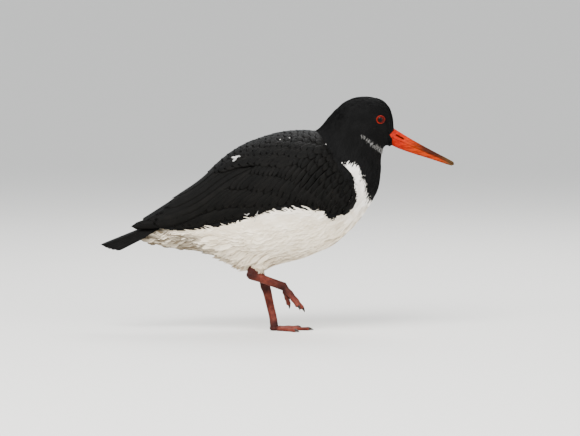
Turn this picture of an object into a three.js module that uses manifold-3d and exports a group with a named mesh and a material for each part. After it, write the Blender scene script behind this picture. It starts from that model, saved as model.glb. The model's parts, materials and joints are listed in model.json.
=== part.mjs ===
// A life-size Eurasian oystercatcher in mid stride: it stands on its left leg and carries the right
// one forward. Millimetres. +X points to the bill, +Y to the bird's left, +Z up. The origin is under
// the ball of the left foot.
import * as THREE from "three";
import { mergeVertices } from "three/addons/utils/BufferGeometryUtils.js";
import Module from "manifold-3d";

const wasm = await Module();
wasm.setup();

// Gap between pieces that touch.
const GAP = 0.3;
const DEGREE = Math.PI / 180;

// Trunk, neck and head as one form. Each station is a cut across it, from a point on the back's line
// to a point on the belly's line, so the cuts fan out round the nape and round the chin.
// [back x, back z, belly x, belly z, half width, how far down the cut it is widest, 0 to 1]
const BODY_STATIONS = [
  [-153.4, 109.8, -151.2, 103.6, 6.5, 0.5],
  [-136.6, 114.8, -134.4, 97.5, 12.5, 0.5],
  [-114.2, 126, -112, 92, 20, 0.52],
  [-86.2, 143.9, -86.2, 88.5, 29, 0.55],
  [-58.2, 169.7, -61.6, 82.9, 37.5, 0.56],
  [-35.8, 192, -38.1, 73.5, 44.5, 0.55],
  [-16.8, 208.9, -16.8, 70.6, 49, 0.54],
  [3.4, 218.4, 9, 76.2, 51, 0.54],
  [21.3, 222.3, 37, 84.6, 50.5, 0.55],
  [34.7, 224, 65, 98.6, 48, 0.56],
  [42.6, 225.1, 87.4, 119.3, 43.5, 0.58],
  [45.9, 227.4, 104.2, 141.7, 38, 0.58],
  [49.3, 230.7, 113.7, 160.7, 32.5, 0.56],
  [53.8, 236.3, 116.5, 178.6, 28, 0.54],
  [59.4, 243, 116.8, 193.2, 25, 0.52],
  [66.1, 249.8, 118.7, 203.3, 22.8, 0.5],
  [76.2, 257.6, 121.5, 207.2, 21.6, 0.5],
  [89.6, 262.3, 124.3, 207.8, 20.8, 0.5],
  [104.2, 262.3, 126.6, 207.8, 19.6, 0.52],
  [117.6, 258.2, 128.2, 207.8, 17, 0.55],
  [125.4, 250.3, 129.4, 208.3, 12.8, 0.58],
  [129.1, 240.2, 130.1, 209.4, 9.4, 0.6],
  [130.3, 230.2, 131, 211.1, 7, 0.6],
];
const TRUNK_END = [-158, 106.5];
const FACE_END = [131.6, 220];
const BODY_ROWS = 36;
const BODY_COLUMNS = 24;
// Soft swellings and hollows of the sides: [x, z, reach, height]
const BODY_BUMPS = [
  [92, 228, 17, 1.6],
  [127, 216, 15, -4.5],
  [114.8, 246, 8, 0.9],
  [-18, 100, 30, 4],
  [30, 112, 26, 1.5],
];
// The cuts that part the head, the neck and the trunk: [nape x, nape z, throat x, throat z]
const HEAD_CUT = [55, 236, 122, 200.5];
const NECK_CUT = [40, 226, 117, 163];

// The closed wings wrap the back like a cloak. Stations from the wing tips to the shoulder:
// [x, height of the ridge, height where its oval would close below, half width]
const CLOAK_STATIONS = [
  [-163.5, 119.5, 113, 8],
  [-147.8, 128.9, 108, 12.5],
  [-131, 139.6, 102.5, 17.5],
  [-108.6, 154, 94.6, 23.5],
  [-86.2, 169.7, 90.2, 31],
  [-63.8, 190.4, 84.6, 39],
  [-41.4, 205.5, 77.8, 45.5],
  [-19, 215, 72.2, 50.3],
  [3.4, 221.2, 74.5, 52.4],
  [25.8, 223.4, 80.1, 52],
  [48.2, 221.2, 89, 49],
  [65, 211.1, 99.1, 44.5],
  [81.8, 195.4, 112.6, 37.5],
  [94.1, 176.4, 130.5, 27],
  [100.8, 163, 147.3, 14],
];
const CLOAK_ROWS = 20;
const CLOAK_COLUMNS = 20;
// An oval that is drawn in keeps at least this half width and half height.
const LEAST_HALF = 0.2;
// How far its closing points are beyond its first and last station.
const CLOAK_ENDS = [1, 2];
// The wing's core starts this far under the cloak's surface, so that the feathers stand out from it.
const CORE_SUNK = 0.3;
// How deep the core reaches at the shoulder and at the wing tips.
const WING_DEPTH = 5;
const WING_TIP_DEPTH = 2.4;
// Where a closed wing lies, seen from the side, from the top of its front edge down and back to the
// tip. Past the tip and above the ridge the outline only has to clear the wing.
const WING_OUTLINE = [
  [77.3, 186], [84, 178.6], [87.9, 169.7], [87.9, 158.5], [81.8, 146.2], [72.8, 136.1], [63.8, 128.2],
  [53.8, 131.6], [25.8, 135], [-7.8, 132.7], [-35.8, 123.8], [-69.4, 115.9], [-97.4, 112.6],
  [-120, 113.1], [-135, 115.6], [-150, 116.8], [-175, 117.5], [-175, 235], [-50, 235], [-44, 204],
  [-32, 201], [-15, 206.5],
  [3, 211], [25, 212], [46, 210], [60, 201],
];
const WING_THINS_FROM = -30;
const WING_THINS_TO = -112;
// Behind these places there is no filled back under the wings, and no core in a wing, only feathers.
const TRUNK_UNDER_WINGS_BACK = -98;
const WING_CORE_BACK = -134;
// Wider than the bird on each side.
const HALF_PRISM = 90;

// Rows of feathers on a closed wing, the lowest first. A row goes from its first feather to its last.
// Roots and tips are [x, degrees down from the ridge]. Over is 1 where the upper feather of two lies on
// top, and -1 where the one in front does.
const WING_ROWS = [
  { name: "primaries", count: 5, over: 1, halfWidth: 6.2,
    roots: [[-96, 96], [-80, 50]], tips: [[-163.5, 90], [-121, 32]] },
  { name: "secondaries", count: 4, over: 1, halfWidth: 6.5,
    roots: [[-52, 92], [-6, 84]], tips: [[-113, 103], [-46, 110]] },
  { name: "great coverts", count: 6, over: -1, halfWidth: 8.5,
    roots: [[-30, 70], [55, 80]], tips: [[-72, 92], [18, 103]] },
  { name: "middle coverts", count: 5, over: -1, halfWidth: 8.5,
    roots: [[0, 50], [66, 64]], tips: [[-36, 70], [36, 84]] },
  { name: "tertials", count: 4, over: 1, halfWidth: 8.5,
    roots: [[-30, 60], [-8, 32]], tips: [[-119, 72], [-76, 34]] },
  { name: "shoulder feathers", count: 4, over: -1, halfWidth: 9,
    roots: [[-6, 22], [50, 38]], tips: [[-60, 32], [6, 54]] },
];
// A feather's cuts, as shares of its length, and its width there as a share of the widest.
const VANE_SHARES = [0, 0.45, 0.8, 0.95];
const VANE_WIDTHS = [0.55, 1, 0.86, 0.5];
const VANE_THICKNESS = 0.6;
const VANE_SHAFT_THICKNESS = 0.9;
// The root lies under the cloak's surface and the tip above it. One edge is raised over its neighbour.
const VANE_SUNK = 1.6;
const VANE_ROOT_DROP = 0.1;
const VANE_STANDS_OUT = 1.2;
const VANE_TILT = 0.85;
// Half the angle, in radians, over which the cloak's curvature is measured.
const CURVE_STEP = 0.02;

// Bill: [x, z, half height, half width] along its middle, from inside the face to the tip.
const BILL_STATIONS = [
  [118, 224, 9.2, 7],
  [128, 218.2, 9, 6.4],
  [138, 212.7, 8.4, 5.4],
  [149, 207.4, 7.3, 4.4],
  [160, 202.6, 6.1, 3.5],
  [171, 198, 4.9, 2.7],
  [182, 193.4, 3.9, 1.9],
  [192, 189.2, 3, 1.25],
  [196.5, 187.3, 2.3, 1],
];
const BILL_END = [198.3, 186.5];
const BILL_SIDES = 14;
const BILL_ROWS = 12;
// The cuts lean forward at the top: how far a point goes along x and z for each unit of half height.
const BILL_LEAN = 0.42;
const BILL_RISE = 0.9;
// The bill's blunt end inside the face, from its first station.
const BILL_ROOT = [-2, 1];
// The line of the mouth runs a little below the middle of the bill.
const MOUTH_DROP = 1.6;
const NOSTRIL_FROM = [134.5, 219.6];
const NOSTRIL_TO = [142, 214.6];
const NOSTRIL_HALF_HEIGHT = 0.75;
const NOSTRIL_DEPTH = 1.5;
// How far the side of the bill is from its middle at the nostril.
const NOSTRIL_SIDE = 6.1;

// Eyes: centre [x, z], and the bare ring round each, which leans with the side of the face.
const EYE_CENTRE = [114.8, 237.4];
const EYE_RADIUS = 6;
const EYE_STANDS_OUT = 2;
const EYE_RING_RADIUS = 4.9;
const EYE_RING_THICKNESS = 1.05;
const EYE_RING_STANDS_OUT = 0.25;
const EYE_RING_LEAN = 14;
// The part of the body's stations that the eyes lie between.
const FACE_PLACES = [15, 22];
// Steps in which the head's width is searched for, in stations and in radians.
const SEARCH_STEPS = [0.1, 0.05];
const EYE_SEGMENTS = [14, 9];
const EYE_RING_SEGMENTS = [6, 16];

// Tail feathers: their common root, length from it, and how the closed fan lies.
const TAIL_ROOT = [-118, 129.5];
const TAIL_TIP = [-198, 97];
const TAIL_PAIRS = 6;
const TAIL_HALF_WIDTH = 17;
const TAIL_FEATHER_HALF_WIDTH = 7.5;
const TAIL_FEATHER_THICKNESS = 0.9;
const TAIL_LAYER = 0.55;
const TAIL_ARCH = 12;
// How far apart the feathers' middles are at the root and how much that grows to the tip, as shares.
const TAIL_SPREAD = [0.35, 0.4];
// The outermost feather is shorter by this share.
const TAIL_STEP_BACK = 0.24;
// A feather's cuts along its length, its width at the root, where it is full, and where it rounds off.
const TAIL_CUTS = [0, 0.45, 0.8, 0.93, 0.985];
const TAIL_ROOT_WIDTH = 0.55;
const TAIL_FULL_FROM = 0.5;
const TAIL_ROUNDS_FROM = 0.8;
// The tail is cut clear of the wings this far outside their outline too.
const TAIL_CLEARS = 3;
// The root's closing point, a little before the first cut.
const TAIL_ROOT_END = -0.01;

// Legs. The first list of each runs from inside the belly to the heel, the second from the heel to the
// ball of the foot: [x, y, z, half depth, half width]. The feathering ends part way along the first.
const LEFT_THIGH = [
  [-14, 20, 92, 11, 10],
  [-20, 18.5, 74, 8, 7.5],
  [-19.2, 17, 64.5, 4.6, 4.3],
  [-16, 15.2, 55, 4.3, 3.8],
  [-13.4, 13.6, 48.8, 5.6, 4.7],
];
const LEFT_SHIN = [
  [-13.4, 13.6, 48.8, 5.6, 4.7],
  [-11.2, 12, 42.5, 5, 4],
  [-8, 7.6, 29, 4.5, 3.4],
  [-4.6, 2.6, 15, 4.4, 3.5],
  [-3.2, 0.3, 4.6, 4.6, 4],
];
const RIGHT_THIGH = [
  [-12, -20, 92, 12, 10],
  [-18, -22, 80, 10, 9],
  [-25, -24.2, 71.5, 6.5, 6],
  [-28.6, -25.4, 67.2, 5.4, 4.9],
];
const RIGHT_SHIN = [
  [-33.5, -27, 66.6, 4.2, 3.8],
  [-28.5, -25.6, 64.9, 5.4, 4.8],
  [-18, -22.4, 60.9, 4.9, 3.8],
  [-4, -16.6, 55.2, 4.7, 3.6],
  [8, -11, 50.4, 4.8, 4.1],
];
const LEG_SIDES = 10;
const LEG_STEPS = 3;
const LEFT_FEATHERS_END = 2;
const RIGHT_FEATHERS_END = 2.2;
// The foot begins this far before the end of the lower leg's list, and is set into the leg by a step.
const ANKLE_BACK = 0.9;
const ANKLE_SHOULDER = 0.8;
const ANKLE_SET_IN = 0.02;

// Toes of the standing foot. Headings are degrees from straight ahead, towards the bird's left.
const TOES = [
  { name: "inner", heading: -37, length: 29, halfWidth: 3.1 },
  { name: "middle", heading: 1, length: 38, halfWidth: 3.3 },
  { name: "outer", heading: 35, length: 32, halfWidth: 3.1 },
];
const TOE_HALF_HEIGHT = 2.9;
const TOE_PADS = 3;
const TOE_PAD_SWELL = 0.09;
const TOE_TAPER = 0.3;
const TOE_SIDES = 8;
const TOE_ROWS = 6;
const TOE_ROUND_BACK = 1.5;
const TOE_ROUND_FRONT = 1;
// The middle line of a standing toe: share of its length, and height as a share of the half height.
// It starts higher, over the ball of the foot, and sinks as the toe gets thinner.
const TOE_START = [-1, 4.4];
const TOE_LANDS = [5, 0.86];
const TOE_LINE = [[0.4, 0.78], [0.7, 0.66], [1, 0.56]];
// Where the toes of the standing foot meet, and the pad under that place: [x, y, z], then its radii.
const BALL = [-3, 0, 2.6];
const BALL_RADII = [5.4, 4.8, 3.4];
const BALL_SEGMENTS = [12, 8];
// Claws: cuts as shares of the length, size against the toe, and how the tip drops below the start.
const CLAW_LENGTH = 6.5;
const CLAW_CUTS = [-0.25, 0, 0.3, 0.6, 0.85];
const CLAW_ROOT = -0.35;
const CLAW_SIDES = 8;
const CLAW_SIZE = 0.62;
const CLAW_NARROW = 0.9;
const CLAW_POINT_POWER = 1.6;
const CLAW_RISE = 0.5;
const CLAW_DROP = 1.5;
const CLAW_TIP_DROP = 1.1;
// The way the backs of the hanging toes face.
const HANGING_UPWARDS = [1, 0, 0.8];
// The lifted foot hangs. For each toe: the way it points at its root and then at its tip, [x, y, z].
const HANGING_TOES = [
  { name: "inner", root: [0.7, 1, -3], tip: [0.7, 0.4, -2.6], length: 21, halfWidth: 3.1 },
  { name: "middle", root: [2.4, 0, -2.6], tip: [2, 0.2, -2.6], length: 31, halfWidth: 3.3 },
  { name: "outer", root: [2.2, -1.8, -2.8], tip: [1.8, -0.6, -2.6], length: 27, halfWidth: 3.1 },
];

// A smooth curve through values that belong to rising places; finite differences give its slopes.
function through(places, values, at) {
  const last = places.length - 1;
  const x = Math.min(Math.max(at, places[0]), places[last]);
  let i = 0;
  while (i < last - 1 && x > places[i + 1]) i += 1;
  const slope = (k) => {
    const before = Math.max(k - 1, 0);
    const after = Math.min(k + 1, last);
    return (values[after] - values[before]) / (places[after] - places[before]);
  };
  const span = places[i + 1] - places[i];
  const t = (x - places[i]) / span;
  const rise = t * t * (3 - 2 * t);
  return (
    values[i] * (1 - rise) +
    values[i + 1] * rise +
    span * (slope(i) * t * (1 - t) * (1 - t) - slope(i + 1) * t * t * (1 - t))
  );
}

const column = (table, k) => table.map((row) => row[k]);
const counting = (table) => table.map((row, i) => i);

// A closed body from rings of points: neighbours are joined, and each end is closed onto a point.
function closedRings(rings, startPoint, endPoint) {
  const around = rings[0].length;
  const points = [startPoint, ...rings.flat(), endPoint];
  const at = (r, k) => 1 + r * around + ((k + around) % around);
  const end = points.length - 1;
  const faces = [];
  for (let k = 0; k < around; k += 1) {
    faces.push(0, at(0, k + 1), at(0, k));
    faces.push(end, at(rings.length - 1, k), at(rings.length - 1, k + 1));
    for (let r = 0; r < rings.length - 1; r += 1) {
      faces.push(at(r, k), at(r, k + 1), at(r + 1, k + 1));
      faces.push(at(r, k), at(r + 1, k + 1), at(r + 1, k));
    }
  }
  const geometry = new THREE.BufferGeometry().setFromPoints(points);
  geometry.setIndex(faces);
  return solidOf(geometry);
}

// A closed geometry as a solid that can be joined and cut. One that comes out inside out is turned round.
function solidOf(geometry) {
  const bare = geometry.clone();
  bare.deleteAttribute("normal");
  bare.deleteAttribute("uv");
  const merged = mergeVertices(bare, 1e-4);
  const triVerts = new Uint32Array(merged.index.array);
  const vertProperties = new Float32Array(merged.attributes.position.array);
  const made = new wasm.Manifold(new wasm.Mesh({ numProp: 3, vertProperties, triVerts }));
  if (made.volume() > 0) return made;
  for (let i = 0; i < triVerts.length; i += 3) {
    [triVerts[i + 1], triVerts[i + 2]] = [triVerts[i + 2], triVerts[i + 1]];
  }
  return new wasm.Manifold(new wasm.Mesh({ numProp: 3, vertProperties, triVerts }));
}

const joined = (solids) => solids.reduce((all, one) => all.add(one));
const largest = (solid) =>
  solid.decompose().reduce((best, one) => (one.volume() > best.volume() ? one : best));

// The part of a solid on the side of a plane that its normal points to, half a gap away from the plane.
function beyond(solid, point, normal) {
  const n = normal.clone().normalize();
  return solid.trimByPlane([n.x, n.y, n.z], n.dot(point) + GAP / 2);
}

// Trunk, neck and head

// A point of the body: place counts the stations, and angle goes round from the back (0) over the side
// to the belly.
function bodyPoint(place, angle, grow = 0) {
  const places = counting(BODY_STATIONS);
  const [topX, topZ, lowX, lowZ, width, widest] = [0, 1, 2, 3, 4, 5].map((k) =>
    through(places, column(BODY_STATIONS, k), place),
  );
  const down = (1 - Math.cos(angle)) / 2;
  const across =
    Math.pow(down / widest, widest) * Math.pow((1 - down) / (1 - widest), 1 - widest);
  const length = Math.hypot(lowX - topX, lowZ - topZ);
  const reach = down + (grow / length) * (2 * down - 1);
  const x = topX + (lowX - topX) * reach;
  const z = topZ + (lowZ - topZ) * reach;
  let bulge = 0;
  for (const [bumpX, bumpZ, size, height] of BODY_BUMPS) {
    bulge += height * Math.exp(-((x - bumpX) ** 2 + (z - bumpZ) ** 2) / size ** 2);
  }
  const side = Math.sign(Math.sin(angle));
  return new THREE.Vector3(x, side * (width + bulge + grow) * Math.min(across, 1), z);
}

function bodyForm(grow = 0) {
  const rings = [];
  for (let r = 0; r <= BODY_ROWS; r += 1) {
    const place = ((BODY_STATIONS.length - 1) * r) / BODY_ROWS;
    const ring = [];
    for (let k = 0; k < BODY_COLUMNS; k += 1) {
      ring.push(bodyPoint(place, ((k + 0.5) / BODY_COLUMNS) * 2 * Math.PI, grow));
    }
    rings.push(ring);
  }
  return closedRings(
    rings,
    new THREE.Vector3(TRUNK_END[0] - grow, 0, TRUNK_END[1]),
    new THREE.Vector3(FACE_END[0] + grow, 0, FACE_END[1]),
  );
}

// The plane of a cut through the neck, as a point and the normal that points to the bill.
function cutPlane([x1, z1, x2, z2]) {
  return [new THREE.Vector3(x1, 0, z1), new THREE.Vector3(z1 - z2, 0, x2 - x1)];
}

// Closed wings

function cloakPoint(x, angle, lift = 0) {
  const places = column(CLOAK_STATIONS, 0);
  const [top, low, width] = [1, 2, 3].map((k) => through(places, column(CLOAK_STATIONS, k), x));
  const half = (top - low) / 2 + lift;
  return new THREE.Vector3(
    x,
    Math.max(width + lift, LEAST_HALF) * Math.sin(angle),
    (top + low) / 2 + Math.max(half, LEAST_HALF) * Math.cos(angle),
  );
}

// The cloak's whole oval form, grown or shrunk by a depth that may change along it.
function cloakForm(growAt) {
  const [from, to] = [CLOAK_STATIONS[0][0], CLOAK_STATIONS.at(-1)[0]];
  const rings = [];
  for (let r = 0; r <= CLOAK_ROWS; r += 1) {
    const x = from + ((to - from) * r) / CLOAK_ROWS;
    const ring = [];
    for (let k = 0; k < CLOAK_COLUMNS; k += 1) {
      ring.push(cloakPoint(x, ((k + 0.5) / CLOAK_COLUMNS) * 2 * Math.PI, growAt(x)));
    }
    rings.push(ring);
  }
  const middle = (ring, shift) => {
    const centre = new THREE.Vector3();
    ring.forEach((p) => centre.add(p));
    return centre.divideScalar(ring.length).add(new THREE.Vector3(shift, 0, 0));
  };
  return closedRings(rings, middle(rings[0], -CLOAK_ENDS[0]), middle(rings.at(-1), CLOAK_ENDS[1]));
}

// How deep the wing's core reaches under the cloak's surface.
function wingDepth(x) {
  const share = THREE.MathUtils.smoothstep(x, WING_THINS_TO, WING_THINS_FROM);
  return WING_TIP_DEPTH + (WING_DEPTH - WING_TIP_DEPTH) * share;
}

// The side outline of a wing, grown by a little, as a prism right across the bird.
function wingPrism(grow) {
  const points = WING_OUTLINE.map(([x, z]) => new THREE.Vector2(x, z));
  const grown = points.map((p, i) => {
    const before = points[(i + points.length - 1) % points.length];
    const after = points[(i + 1) % points.length];
    const along = after.clone().sub(before).normalize();
    return p.clone().add(new THREE.Vector2(-along.y, along.x).multiplyScalar(grow));
  });
  const geometry = new THREE.ExtrudeGeometry(new THREE.Shape(grown), {
    depth: 2 * HALF_PRISM,
    bevelEnabled: false,
  });
  geometry.rotateX(Math.PI / 2);
  geometry.translate(0, HALF_PRISM, 0);
  return solidOf(geometry);
}

const yAxis = new THREE.Vector3(0, 1, 0);

// What lies under the closed wings: the trunk, with the back filled out as far as the wings reach over it.
function underWings(grow) {
  const inner = cloakForm((x) => -wingDepth(x) - GAP + grow);
  const filled = inner.trimByPlane([1, 0, 0], TRUNK_UNDER_WINGS_BACK - grow);
  return filled.add(inner.intersect(bodyForm(grow)));
}

// One feather on the cloak: root and tip are [x, degrees], and over tells which of its edges is raised.
function wingVane(side, root, tip, halfWidth, over) {
  const blend = (share, k) => root[k] + (tip[k] - root[k]) * share;
  const at = (share, across, lift) => {
    const x = blend(share, 0);
    const angle = blend(share, 1) * DEGREE;
    const ahead = cloakPoint(x, angle + CURVE_STEP);
    const radius = ahead.distanceTo(cloakPoint(x, angle - CURVE_STEP)) / (2 * CURVE_STEP);
    return cloakPoint(x, side * (angle + across / radius), lift);
  };
  const liftAt = (share) => -VANE_SUNK + (VANE_SUNK + VANE_STANDS_OUT) * share;
  const rings = VANE_SHARES.map((share, i) => {
    const half = halfWidth * VANE_WIDTHS[i];
    const point = (k, face) => {
      const thickness = k === 0 ? VANE_SHAFT_THICKNESS : VANE_THICKNESS;
      const tilt = VANE_TILT * over * k * VANE_WIDTHS[i];
      return at(share, k * half, liftAt(share) + tilt + (face * thickness) / 2);
    };
    return [point(-1, 1), point(0, 1), point(1, 1), point(1, -1), point(0, -1), point(-1, -1)];
  });
  return closedRings(rings, at(0, 0, -VANE_SUNK - VANE_ROOT_DROP), at(1, 0, VANE_STANDS_OUT));
}

function wingVanes(side) {
  const vanes = [];
  for (const { count, over, halfWidth, roots, tips } of WING_ROWS) {
    for (let i = 0; i < count; i += 1) {
      const part = i / (count - 1);
      const mix = ([a, b]) => a.map((v, k) => v + (b[k] - v) * part);
      vanes.push(wingVane(side, mix(roots), mix(tips), halfWidth, over));
    }
  }
  return joined(vanes);
}

function wings() {
  const core = cloakForm(() => -CORE_SUNK)
    .intersect(wingPrism(0))
    .trimByPlane([1, 0, 0], WING_CORE_BACK);
  const both = core
    .add(wingVanes(1))
    .add(wingVanes(-1))
    .subtract(underWings(GAP))
    .subtract(bodyForm(GAP).subtract(wingPrism(0)));
  const nowhere = new THREE.Vector3();
  return {
    right: largest(beyond(both, nowhere, yAxis.clone().negate())),
    left: largest(beyond(both, nowhere, yAxis)),
  };
}

// Bill

function billForm() {
  const places = counting(BILL_STATIONS);
  const rings = [];
  for (let r = 0; r <= BILL_ROWS; r += 1) {
    const place = ((BILL_STATIONS.length - 1) * r) / BILL_ROWS;
    const [x, z, high, wide] = [0, 1, 2, 3].map((k) =>
      through(places, column(BILL_STATIONS, k), place),
    );
    const ring = [];
    for (let k = 0; k < BILL_SIDES; k += 1) {
      const angle = ((k + 0.5) / BILL_SIDES) * 2 * Math.PI;
      ring.push(
        new THREE.Vector3(
          x + BILL_LEAN * high * Math.cos(angle),
          wide * Math.sin(angle),
          z + BILL_RISE * high * Math.cos(angle),
        ),
      );
    }
    rings.push(ring);
  }
  const [x0, z0] = BILL_STATIONS[0];
  return closedRings(
    rings,
    new THREE.Vector3(x0 + BILL_ROOT[0], 0, z0 + BILL_ROOT[1]),
    new THREE.Vector3(BILL_END[0], 0, BILL_END[1]),
  );
}

// A slit pocket on one side of the bill.
function nostril(side) {
  const [x1, z1] = NOSTRIL_FROM;
  const [x2, z2] = NOSTRIL_TO;
  const length = Math.hypot(x2 - x1, z2 - z1);
  const slit = new THREE.CapsuleGeometry(1, length / NOSTRIL_HALF_HEIGHT - 2, 3, 8);
  slit.rotateZ(Math.PI / 2);
  slit.scale(NOSTRIL_HALF_HEIGHT, NOSTRIL_DEPTH * 2, NOSTRIL_HALF_HEIGHT);
  slit.rotateY(Math.atan2(z1 - z2, x2 - x1));
  slit.translate((x1 + x2) / 2, side * NOSTRIL_SIDE, (z1 + z2) / 2);
  return solidOf(slit);
}

// Eyes

// How wide the head is at a height over a place, from the body's own form.
function headHalfWidth(x, z) {
  let best = { gap: Infinity, y: 0 };
  const [placeStep, angleStep] = SEARCH_STEPS;
  for (let place = FACE_PLACES[0]; place <= FACE_PLACES[1]; place += placeStep) {
    for (let angle = angleStep; angle < Math.PI; angle += angleStep) {
      const p = bodyPoint(place, angle);
      const gap = Math.hypot(p.x - x, p.z - z);
      if (gap < best.gap) best = { gap, y: p.y };
    }
  }
  return best.y;
}

function eyeball(side, grow = 0) {
  const y = headHalfWidth(...EYE_CENTRE) + EYE_STANDS_OUT - EYE_RADIUS;
  const ball = new THREE.SphereGeometry(EYE_RADIUS + grow, ...EYE_SEGMENTS);
  ball.translate(EYE_CENTRE[0], side * y, EYE_CENTRE[1]);
  return solidOf(ball);
}

function eyeRing(side, grow = 0) {
  const y = headHalfWidth(...EYE_CENTRE) + EYE_RING_STANDS_OUT;
  const thickness = EYE_RING_THICKNESS + grow;
  const ring = new THREE.TorusGeometry(EYE_RING_RADIUS, thickness, ...EYE_RING_SEGMENTS);
  ring.rotateX(Math.PI / 2);
  ring.rotateZ(-side * EYE_RING_LEAN * DEGREE);
  ring.translate(EYE_CENTRE[0], side * y, EYE_CENTRE[1]);
  return solidOf(ring);
}

// Tail

// A point of the closed tail: along from root (0) to tip (1), across in millimetres, lift above the arch.
function tailPoint(along, across, lift) {
  const x = TAIL_ROOT[0] + (TAIL_TIP[0] - TAIL_ROOT[0]) * along;
  const z = TAIL_ROOT[1] + (TAIL_TIP[1] - TAIL_ROOT[1]) * along;
  return new THREE.Vector3(x, across, z + lift - TAIL_ARCH * (across / TAIL_HALF_WIDTH) ** 2);
}

// Where the middle of a tail feather lies, along from root to tip.
function tailMiddle(side, outwards, along) {
  const [atRoot, more] = TAIL_SPREAD;
  return side * outwards * TAIL_HALF_WIDTH * (atRoot + more * along);
}

// One tail feather. Pair 0 is the middle pair, on top; each pair further out lies under the last.
function tailFeather(side, pair) {
  const outwards = (pair + TAIL_SPREAD[0]) / TAIL_PAIRS;
  const tipAt = 1 - TAIL_STEP_BACK * outwards * outwards;
  const lift = -TAIL_LAYER * pair - (side > 0 ? TAIL_LAYER / 2 : 0);
  const rings = TAIL_CUTS.map((share) => {
    const along = share * tipAt;
    const middle = tailMiddle(side, outwards, along);
    const round = Math.max(0, (share - TAIL_ROUNDS_FROM) / (1 - TAIL_ROUNDS_FROM));
    const full = Math.min(share / TAIL_FULL_FROM, 1);
    const width = TAIL_ROOT_WIDTH + (1 - TAIL_ROOT_WIDTH) * full;
    const half = TAIL_FEATHER_HALF_WIDTH * width * Math.sqrt(1 - round ** 2);
    const upper = [-1, 0, 1].map((k) => tailPoint(along, middle + k * half, lift));
    const lower = [1, 0, -1].map((k) =>
      tailPoint(along, middle + k * half, lift - TAIL_FEATHER_THICKNESS),
    );
    return [...upper, ...lower];
  });
  const end = (along) =>
    tailPoint(along, tailMiddle(side, outwards, along), lift - TAIL_FEATHER_THICKNESS / 2);
  return closedRings(rings, end(TAIL_ROOT_END), end(tipAt));
}

function tail() {
  const feathers = [];
  for (let pair = 0; pair < TAIL_PAIRS; pair += 1) {
    for (const side of [-1, 1]) feathers.push(tailFeather(side, pair));
  }
  return joined(feathers);
}

// Legs and feet

// A limb of oval section along a list of [x, y, z, half depth, half width], from one place on the list
// to another, each end flat and half a gap short.
function limb(list, from = 0, to = list.length - 1, grow = 0) {
  const path = new THREE.CatmullRomCurve3(
    list.map(([x, y, z]) => new THREE.Vector3(x, y, z)),
    false,
    "centripetal",
  );
  const places = counting(list);
  const short = (GAP / 2 - grow) * ((list.length - 1) / path.getLength());
  const [first, last] = [Math.max(from + short, 0), Math.min(to - short, list.length - 1)];
  const rows = Math.max(2, Math.round((to - from) * LEG_STEPS));
  const rings = [];
  for (let r = 0; r <= rows; r += 1) {
    const place = first + ((last - first) * r) / rows;
    const centre = path.getPoint(place / (list.length - 1));
    const forward = path.getTangent(place / (list.length - 1));
    const across = yAxis.clone().addScaledVector(forward, -forward.y).normalize();
    const deep = across.clone().cross(forward).normalize();
    const depth = through(places, column(list, 3), place) + grow;
    const width = through(places, column(list, 4), place) + grow;
    const ring = [];
    for (let k = 0; k < LEG_SIDES; k += 1) {
      const angle = (k / LEG_SIDES) * 2 * Math.PI;
      ring.push(
        centre
          .clone()
          .addScaledVector(deep, depth * Math.cos(angle))
          .addScaledVector(across, width * Math.sin(angle)),
      );
    }
    rings.push(ring);
  }
  return closedRings(
    rings,
    path.getPoint(first / (list.length - 1)),
    path.getPoint(last / (list.length - 1)),
  );
}

// A toe along a curve, with a swelling at each pad. It ends blunt, where the claw begins.
function toe(path, halfWidth) {
  const rings = [];
  for (let r = 0; r <= TOE_ROWS; r += 1) {
    const t = r / TOE_ROWS;
    const centre = path.getPointAt(t);
    const forward = path.getTangentAt(t);
    const across = new THREE.Vector3().crossVectors(forward, path.upwards).normalize();
    const up = across.clone().cross(forward).normalize();
    const pad = 1 + TOE_PAD_SWELL * Math.cos(2 * Math.PI * TOE_PADS * t);
    const taper = 1 - TOE_TAPER * t;
    const ring = [];
    for (let k = 0; k < TOE_SIDES; k += 1) {
      const angle = (k / TOE_SIDES) * 2 * Math.PI;
      ring.push(
        centre
          .clone()
          .addScaledVector(up, TOE_HALF_HEIGHT * taper * pad * Math.cos(angle))
          .addScaledVector(across, halfWidth * taper * pad * Math.sin(angle)),
      );
    }
    rings.push(ring);
  }
  const [first, last] = [path.getPointAt(0), path.getPointAt(1)];
  return closedRings(
    rings,
    first.addScaledVector(path.getTangentAt(0), -TOE_ROUND_BACK),
    last.addScaledVector(path.getTangentAt(1), TOE_ROUND_FRONT),
  );
}

// A blunt curved claw that goes on from the end of a toe.
function claw(path, halfWidth) {
  const start = path.getPointAt(1);
  const forward = path.getTangentAt(1);
  const across = new THREE.Vector3().crossVectors(forward, path.upwards).normalize();
  const up = across.clone().cross(forward).normalize();
  const rings = [];
  for (const t of CLAW_CUTS) {
    const size = (1 - Math.max(t, 0) ** CLAW_POINT_POWER) * CLAW_SIZE;
    const centre = start
      .clone()
      .addScaledVector(forward, CLAW_LENGTH * t)
      .addScaledVector(up, CLAW_RISE - CLAW_DROP * t * t);
    const ring = [];
    for (let k = 0; k < CLAW_SIDES; k += 1) {
      const angle = (k / CLAW_SIDES) * 2 * Math.PI;
      ring.push(
        centre
          .clone()
          .addScaledVector(up, TOE_HALF_HEIGHT * size * Math.cos(angle))
          .addScaledVector(across, halfWidth * size * CLAW_NARROW * Math.sin(angle)),
      );
    }
    rings.push(ring);
  }
  return closedRings(
    rings,
    start.clone().addScaledVector(forward, CLAW_LENGTH * CLAW_ROOT),
    start.clone().addScaledVector(forward, CLAW_LENGTH).addScaledVector(up, -CLAW_TIP_DROP),
  );
}

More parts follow.
